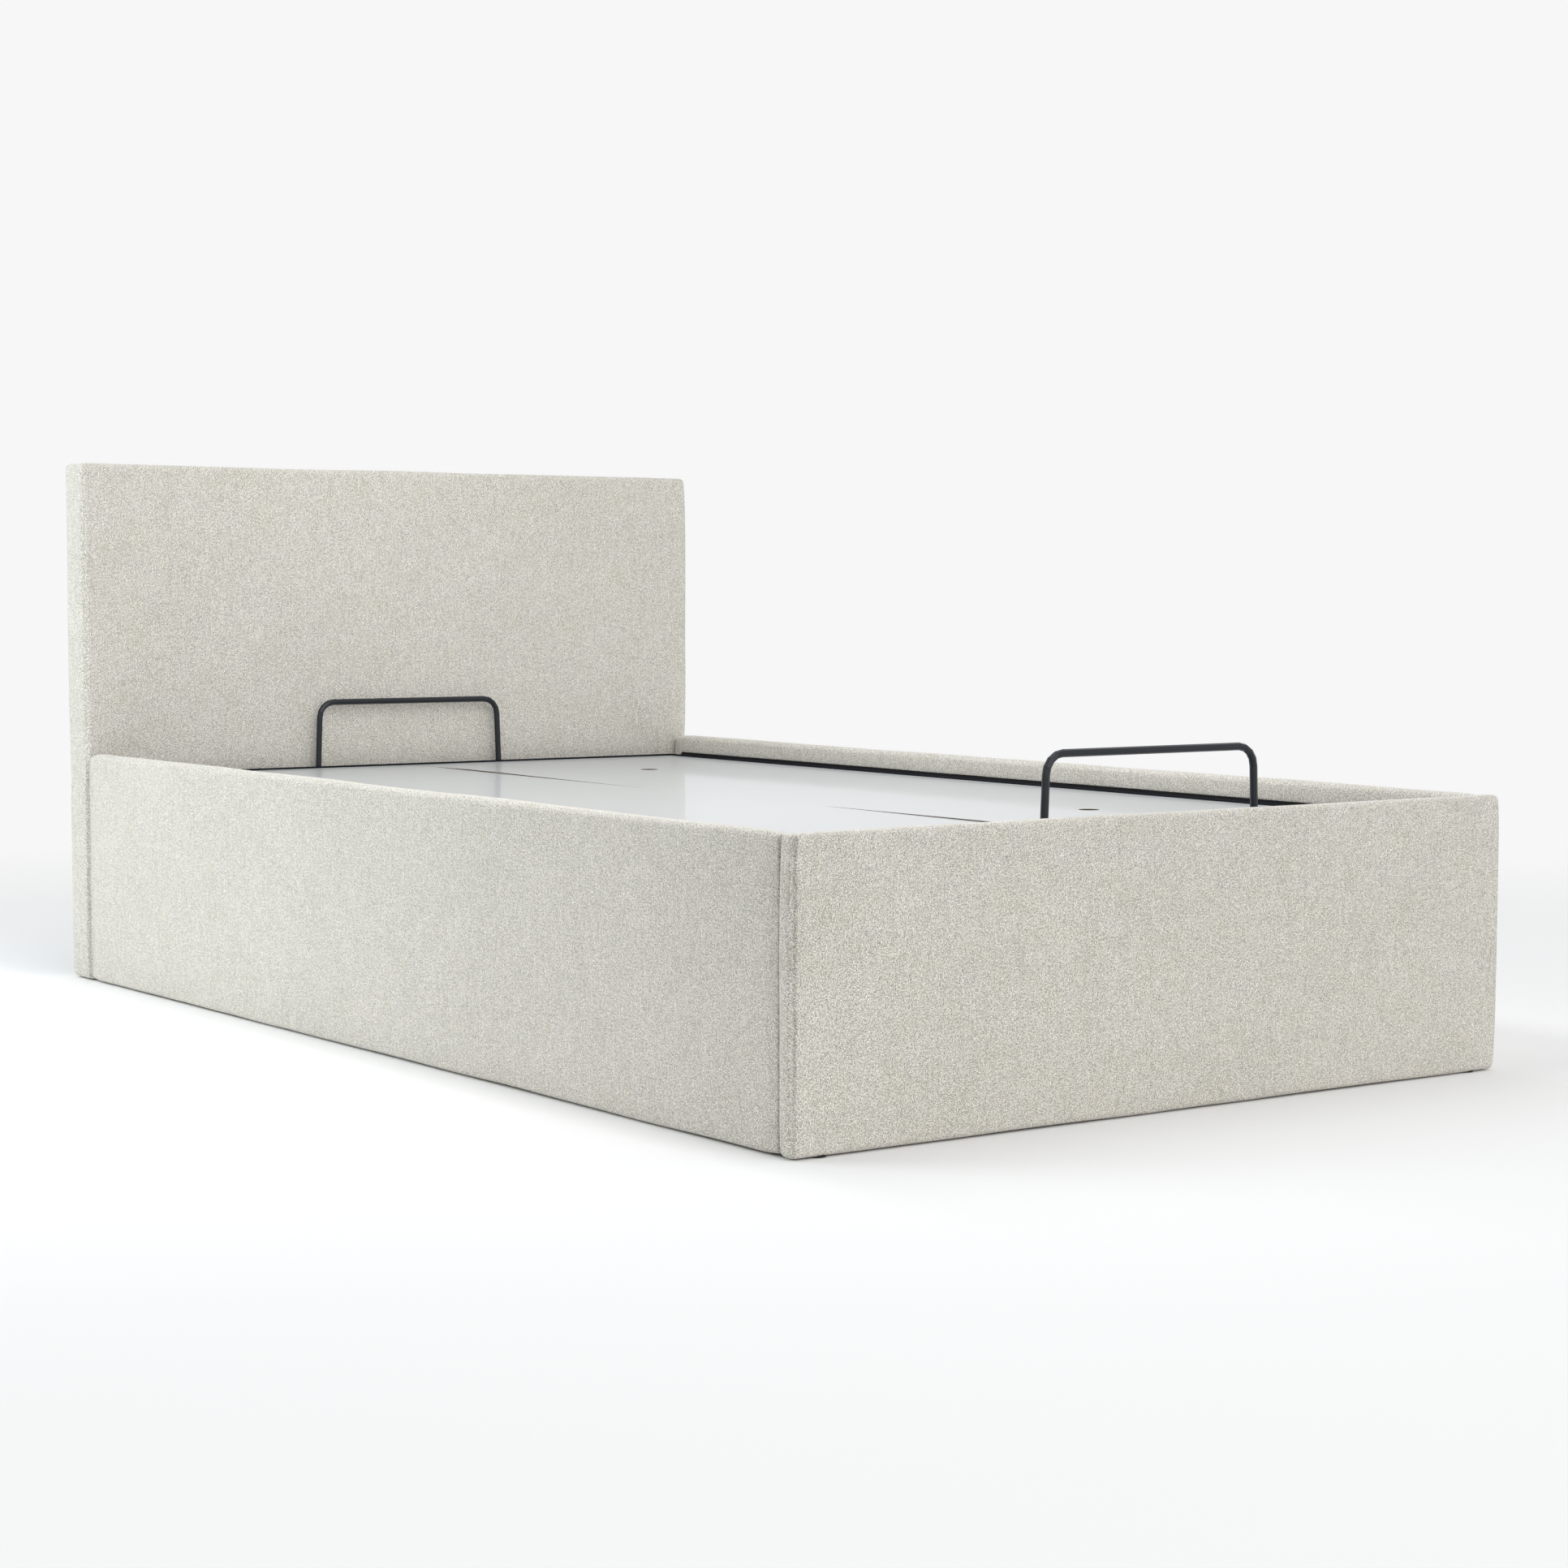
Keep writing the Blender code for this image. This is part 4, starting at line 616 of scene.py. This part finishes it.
def sink_window(bm, axis, face_place, window):
    """Sinks the part of one face inside the window, with a soft edge, down to the lining."""
    low, high = window
    others = [i for i in range(3) if i != axis]
    chosen = []
    for face in bm.faces:
        middle = face.calc_center_median()
        level = abs(middle[axis] - face_place) < EDGE_RADIUS * LEVEL_SHARE
        if level and all(low[i] < middle[i] < high[i] for i in others):
            chosen.append(face)
    for inset, depth in lip_steps():
        bmesh.ops.inset_region(bm, faces=chosen, thickness=inset, depth=depth, use_even_offset=True)


def sunk_depths(bm, axis, sign, face_place, window):
    """How far each vertex lies below the open face, for those inside the window."""
    low, high = window
    others = [i for i in range(3) if i != axis]
    depths = {}
    for vert in bm.verts:
        depth = (face_place - vert.co[axis]) * sign
        inside = all(low[i] < vert.co[i] < high[i] for i in others)
        depths[vert] = depth if inside and depth < LIP_DEPTH * LIP_REACH else 0.0
    return depths


def padded_skin(low, high, axis, sign, window, trim):
    """The skin of one padded panel, sunk at its window so that the lining shows."""
    lines = []
    for i in range(3):
        marks = [] if i == axis else [window[0][i], window[1][i]]
        lines.append(grid_lines(low[i], high[i], marks))
    bm = box_skin(lines)
    bmesh.ops.recalc_face_normals(bm, faces=bm.faces)
    face_place = high[axis] if sign > 0 else low[axis]
    sink_window(bm, axis, face_place, window)
    depths = sunk_depths(bm, axis, sign, face_place, window)
    for vert, depth in depths.items():
        vert.co[axis] += depth * sign
    shape_padding(bm, low, high, trim)
    for vert, depth in depths.items():
        vert.co[axis] -= depth * sign
    return bm


def window_of(node):
    """The opening in a cover's open side: where its lining lies, with a hair of room."""
    low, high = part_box(node)
    return [value - LINING_ROOM for value in low], [value + LINING_ROOM for value in high]


def padded_panel(name, node, axis, sign, window, trim):
    """One padded panel cover, in the place of its CAD cover."""
    low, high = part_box(node)
    low = list(low)
    high = list(high)
    if low[2] < NEAR_FLOOR:
        low[2] -= HANG
    mesh = finished_mesh(name, padded_skin(low, high, axis, sign, window, trim), FABRIC)
    mesh.shade_smooth()
    thing = new_object(name, mesh)
    smooth = thing.modifiers.new("Smooth", "SUBSURF")
    smooth.levels = 1
    smooth.render_levels = 1
    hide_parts(node)
    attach(thing, "bed_base")


def trim_of(panel, axis, sign, seed):
    """How one panel is crowned, rounded, tucked and sewn."""
    crowns = [(0.0, 0.0), (0.0, 0.0), (0.0, 0.0)]
    crowns[axis] = (CROWN, 0.0) if sign > 0 else (0.0, CROWN)
    if panel.endswith("rail"):
        return Trim(crowns, corners=[(0, 1, 1)], tucks=[(1, -1), (1, 1)], seams=[], tight=0, seed=seed)
    kind = "head" if panel.startswith("head") else "foot"
    crowns[0] = SIDE_CROWNS[kind]
    seams = [(side, -1, SEAM_DEPTHS[kind], SEAM_SHADES[kind]) for side in (-1, 1)]
    return Trim(crowns, corners=[], tucks=[], seams=seams, tight=JOINT_SIDES.get(panel, 0), seed=seed)


def warp_height(profile, place):
    """Height of a warped edge at a place along the bed, between the profile's points."""
    for (start, low), (end, high) in zip(profile, profile[1:]):
        if start <= place <= end:
            return low + (high - low) * (place - start) / (end - start)
    return profile[-1][1]


def lifted_edge(name, node, profile, way):
    """A board's inner edge where it has warped upward, as a thin wedge on top of the board."""
    low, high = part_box(node)
    edge = low.x if way > 0 else high.x
    base = high.z - WARP_SINK
    start = profile[0][0]
    stop = profile[-1][0]
    count = round((stop - start) / WARP_STEP)
    bm = bmesh.new()
    rows = []
    for i in range(count + 1):
        y = start + (stop - start) * i / count
        top = high.z + warp_height(profile, y)
        corners = ((edge, y, base), (edge, y, top), (edge + WARP_REACH * way, y, base))
        rows.append([bm.verts.new(corner) for corner in corners])
    for before, after in zip(rows, rows[1:]):
        for j in range(3):
            k = (j + 1) % 3
            bm.faces.new((before[j], before[k], after[k], after[j]))
    bm.faces.new(reversed(rows[0]))
    bm.faces.new(rows[-1])
    bmesh.ops.recalc_face_normals(bm, faces=bm.faces)
    thing = new_object(name, finished_mesh(name, bm, BOARD))
    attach(thing, "platform")


def paint(name, material):
    mesh = NODES[name].data
    mesh.materials.clear()
    mesh.materials.append(material)


def camera_turn():
    """The camera's turn from its yaw, pitch and roll."""
    yaw = math.radians(CAMERA_YAW)
    pitch = math.radians(CAMERA_PITCH)
    roll = math.radians(CAMERA_ROLL)
    level = math.cos(pitch)
    forward = Vector((-math.sin(yaw) * level, math.cos(yaw) * level, math.sin(pitch)))
    right = Vector((math.cos(yaw), math.sin(yaw), 0))
    up = right.cross(forward)
    rolled_right = right * math.cos(roll) + up * math.sin(roll)
    rolled_up = up * math.cos(roll) - right * math.sin(roll)
    return Matrix((rolled_right, rolled_up, -forward)).transposed().to_4x4()


def make_camera():
    data = bpy.data.cameras.new("Camera")
    data.sensor_width = SENSOR_MM
    data.lens = CAMERA_FOCAL_PIXELS / PHOTO_SIZE * SENSOR_MM
    data.shift_x = (PHOTO_SIZE / 2 - CAMERA_CENTRE[0]) / PHOTO_SIZE
    data.shift_y = (CAMERA_CENTRE[1] - PHOTO_SIZE / 2) / PHOTO_SIZE
    camera = new_object("Camera", data)
    camera.matrix_world = Matrix.Translation(CAMERA_PLACE) @ camera_turn()
    bpy.context.scene.camera = camera


def seen_directly(tree):
    """One for rays from the camera and for rays that metal or glass sends on, else zero."""
    path = add(tree, "ShaderNodeLightPath")
    seen = path.outputs["Is Camera Ray"]
    for name in ("Is Glossy Ray", "Is Transmission Ray"):
        either = add(tree, "ShaderNodeMath", operation="MAXIMUM")
        link(tree, seen, either.inputs[0])
        link(tree, path.outputs[name], either.inputs[1])
        seen = either.outputs[0]
    return seen


def mixed_shader(tree, factor, first, second, output):
    mix = add(tree, "ShaderNodeMixShader")
    link(tree, factor, mix.inputs["Fac"])
    link(tree, first.outputs[0], mix.inputs[1])
    link(tree, second.outputs[0], mix.inputs[2])
    link(tree, mix.outputs[0], output.inputs["Surface"])


def make_world():
    """A pale backdrop, and a glow that is weaker from one side."""
    world = bpy.data.worlds.new("Studio")
    bpy.context.scene.world = world
    tree = empty_tree(world)
    output = add(tree, "ShaderNodeOutputWorld")
    backdrop = add(tree, "ShaderNodeBackground", {"Color": opaque(BACKDROP_COLOUR), "Strength": 1.0})
    glow = add(tree, "ShaderNodeBackground", {"Color": opaque(GLOW_COLOUR)})
    way = add(tree, "ShaderNodeTexCoord").outputs["Generated"]
    toward = add(tree, "ShaderNodeVectorMath", operation="DOT_PRODUCT")
    toward.inputs[1].default_value = SHADY_WAY
    link(tree, way, toward.inputs[0])
    ends = {"To Min": GLOW, "To Max": GLOW * SHADY_SHARE}
    lobe = add(tree, "ShaderNodeMapRange", ends, interpolation_type="SMOOTHSTEP")
    link(tree, toward.outputs["Value"], lobe.inputs["Value"])
    link(tree, lobe.outputs[0], glow.inputs["Strength"])
    mixed_shader(tree, seen_directly(tree), glow, backdrop, output)


def area_light(name, place, target, size, power, colour=(1, 1, 1)):
    """A rectangular lamp at a place, turned towards its target."""
    data = bpy.data.lights.new(name, "AREA")
    data.shape = "RECTANGLE"
    data.size = size[0]
    data.size_y = size[1]
    data.energy = power
    data.color = colour
    lamp = new_object(name, data)
    lamp.location = place
    way = Vector(target) - Vector(place)
    lamp.rotation_euler = way.to_track_quat("-Z", "Y").to_euler()


def floor_material():
    """A plain pale surface that fades out towards the floor's rim."""
    material = bpy.data.materials.new("Studio floor")
    tree = empty_tree(material)
    output = add(tree, "ShaderNodeOutputMaterial")
    surface = add(tree, "ShaderNodeBsdfDiffuse", {"Color": opaque(FLOOR_COLOUR)})
    clear = add(tree, "ShaderNodeBsdfTransparent")
    length = add(tree, "ShaderNodeVectorMath", operation="LENGTH")
    link(tree, add(tree, "ShaderNodeTexCoord").outputs["Object"], length.inputs[0])
    ends = {"From Min": FLOOR_FADE_START, "From Max": FLOOR_FADE_END}
    fade = add(tree, "ShaderNodeMapRange", ends, interpolation_type="SMOOTHSTEP")
    link(tree, length.outputs["Value"], fade.inputs["Value"])
    mixed_shader(tree, fade.outputs[0], surface, clear, output)
    return material


def make_floor():
    bm = bmesh.new()
    bmesh.ops.create_circle(bm, cap_ends=True, cap_tris=False, segments=FLOOR_SIDES, radius=FLOOR_RADIUS)
    floor = new_object("studio_floor", finished_mesh("studio_floor", bm, floor_material()))
    floor.location = (0, 0, -FLOOR_DROP)


bpy.context.scene.view_settings.view_transform = "Standard"
make_camera()
make_world()
area_light("Window left", place=(-2.2, 1.0, 1.2), target=(-0.58, 0.5, 0.2), size=(1.8, 0.9), power=25.0,
           colour=WINDOW_COLOUR)
area_light("Over the boards", place=(-0.45, -0.28, 1.45), target=(0.5, -0.28, 0.33), size=(1.3, 0.3),
           power=7.6)
area_light("Front", place=(-0.4, -6.8, 3.7), target=(0.0, -0.2, 0.3), size=(5.0, 5.0), power=132.0)
make_floor()

# Upholstered box
for number, (panel, axis_name, sign) in enumerate(PANELS):
    back = panel + ("_backing" if panel.startswith("head") else "_lining")
    axis = "XYZ".index(axis_name)
    trim = trim_of(panel, axis, sign, SEED_STEP * number)
    padded_panel(panel + "_padded_cover", panel + "_cover", axis, sign, window_of(back), trim)
    paint(back, LINING)
    paint(panel + "_board", PARTICLE)

# Lift, boards, brackets and glides on each side
for side in ("left", "right"):
    paint(side + "_board", BOARD)
    for piece in ("_arm_lug", "_roller_lug", "_lift_arm", "_strut_top_bracket"):
        paint(side + piece, STEEL_PAINT)
    for piece in ("_pivot_bracket", "_roller_track", "_strut_base_bracket"):
        paint(side + piece, ZINC)
    paint(side + "_roller", NYLON)
    paint(side + "_buffer", RUBBER)
    paint(side + "_strut_cylinder", STRUT_PAINT)
    paint(side + "_strut_rod", POLISHED)
    for end in ("foot", "head"):
        paint("corner_bracket_" + end + "_" + side, ZINC)
        paint("glide_" + end + "_" + side, RUBBER)
lifted_edge("right_board_lifted_edge_head", "right_board", HEAD_WARP, 1)
lifted_edge("right_board_lifted_edge_foot", "right_board", FOOT_WARP, 1)
lifted_edge("left_board_lifted_edge", "left_board", LEFT_WARP, -1)

# Platform frame and its edge
for piece in ("platform_frame", "head_retainer_bar", "foot_retainer_bar"):
    paint(piece, STEEL_PAINT)
for where in ("left", "right", "foot", "head"):
    paint("edge_angle_" + where, EDGE_PAINT)

# Storage floor
paint("foot_rest", ZINC)
for where in ("foot", "middle", "head"):
    paint("floor_batten_" + where, PINE)
for where in ("foot", "head"):
    paint("floor_panel_" + where, FLOOR_BOARD)
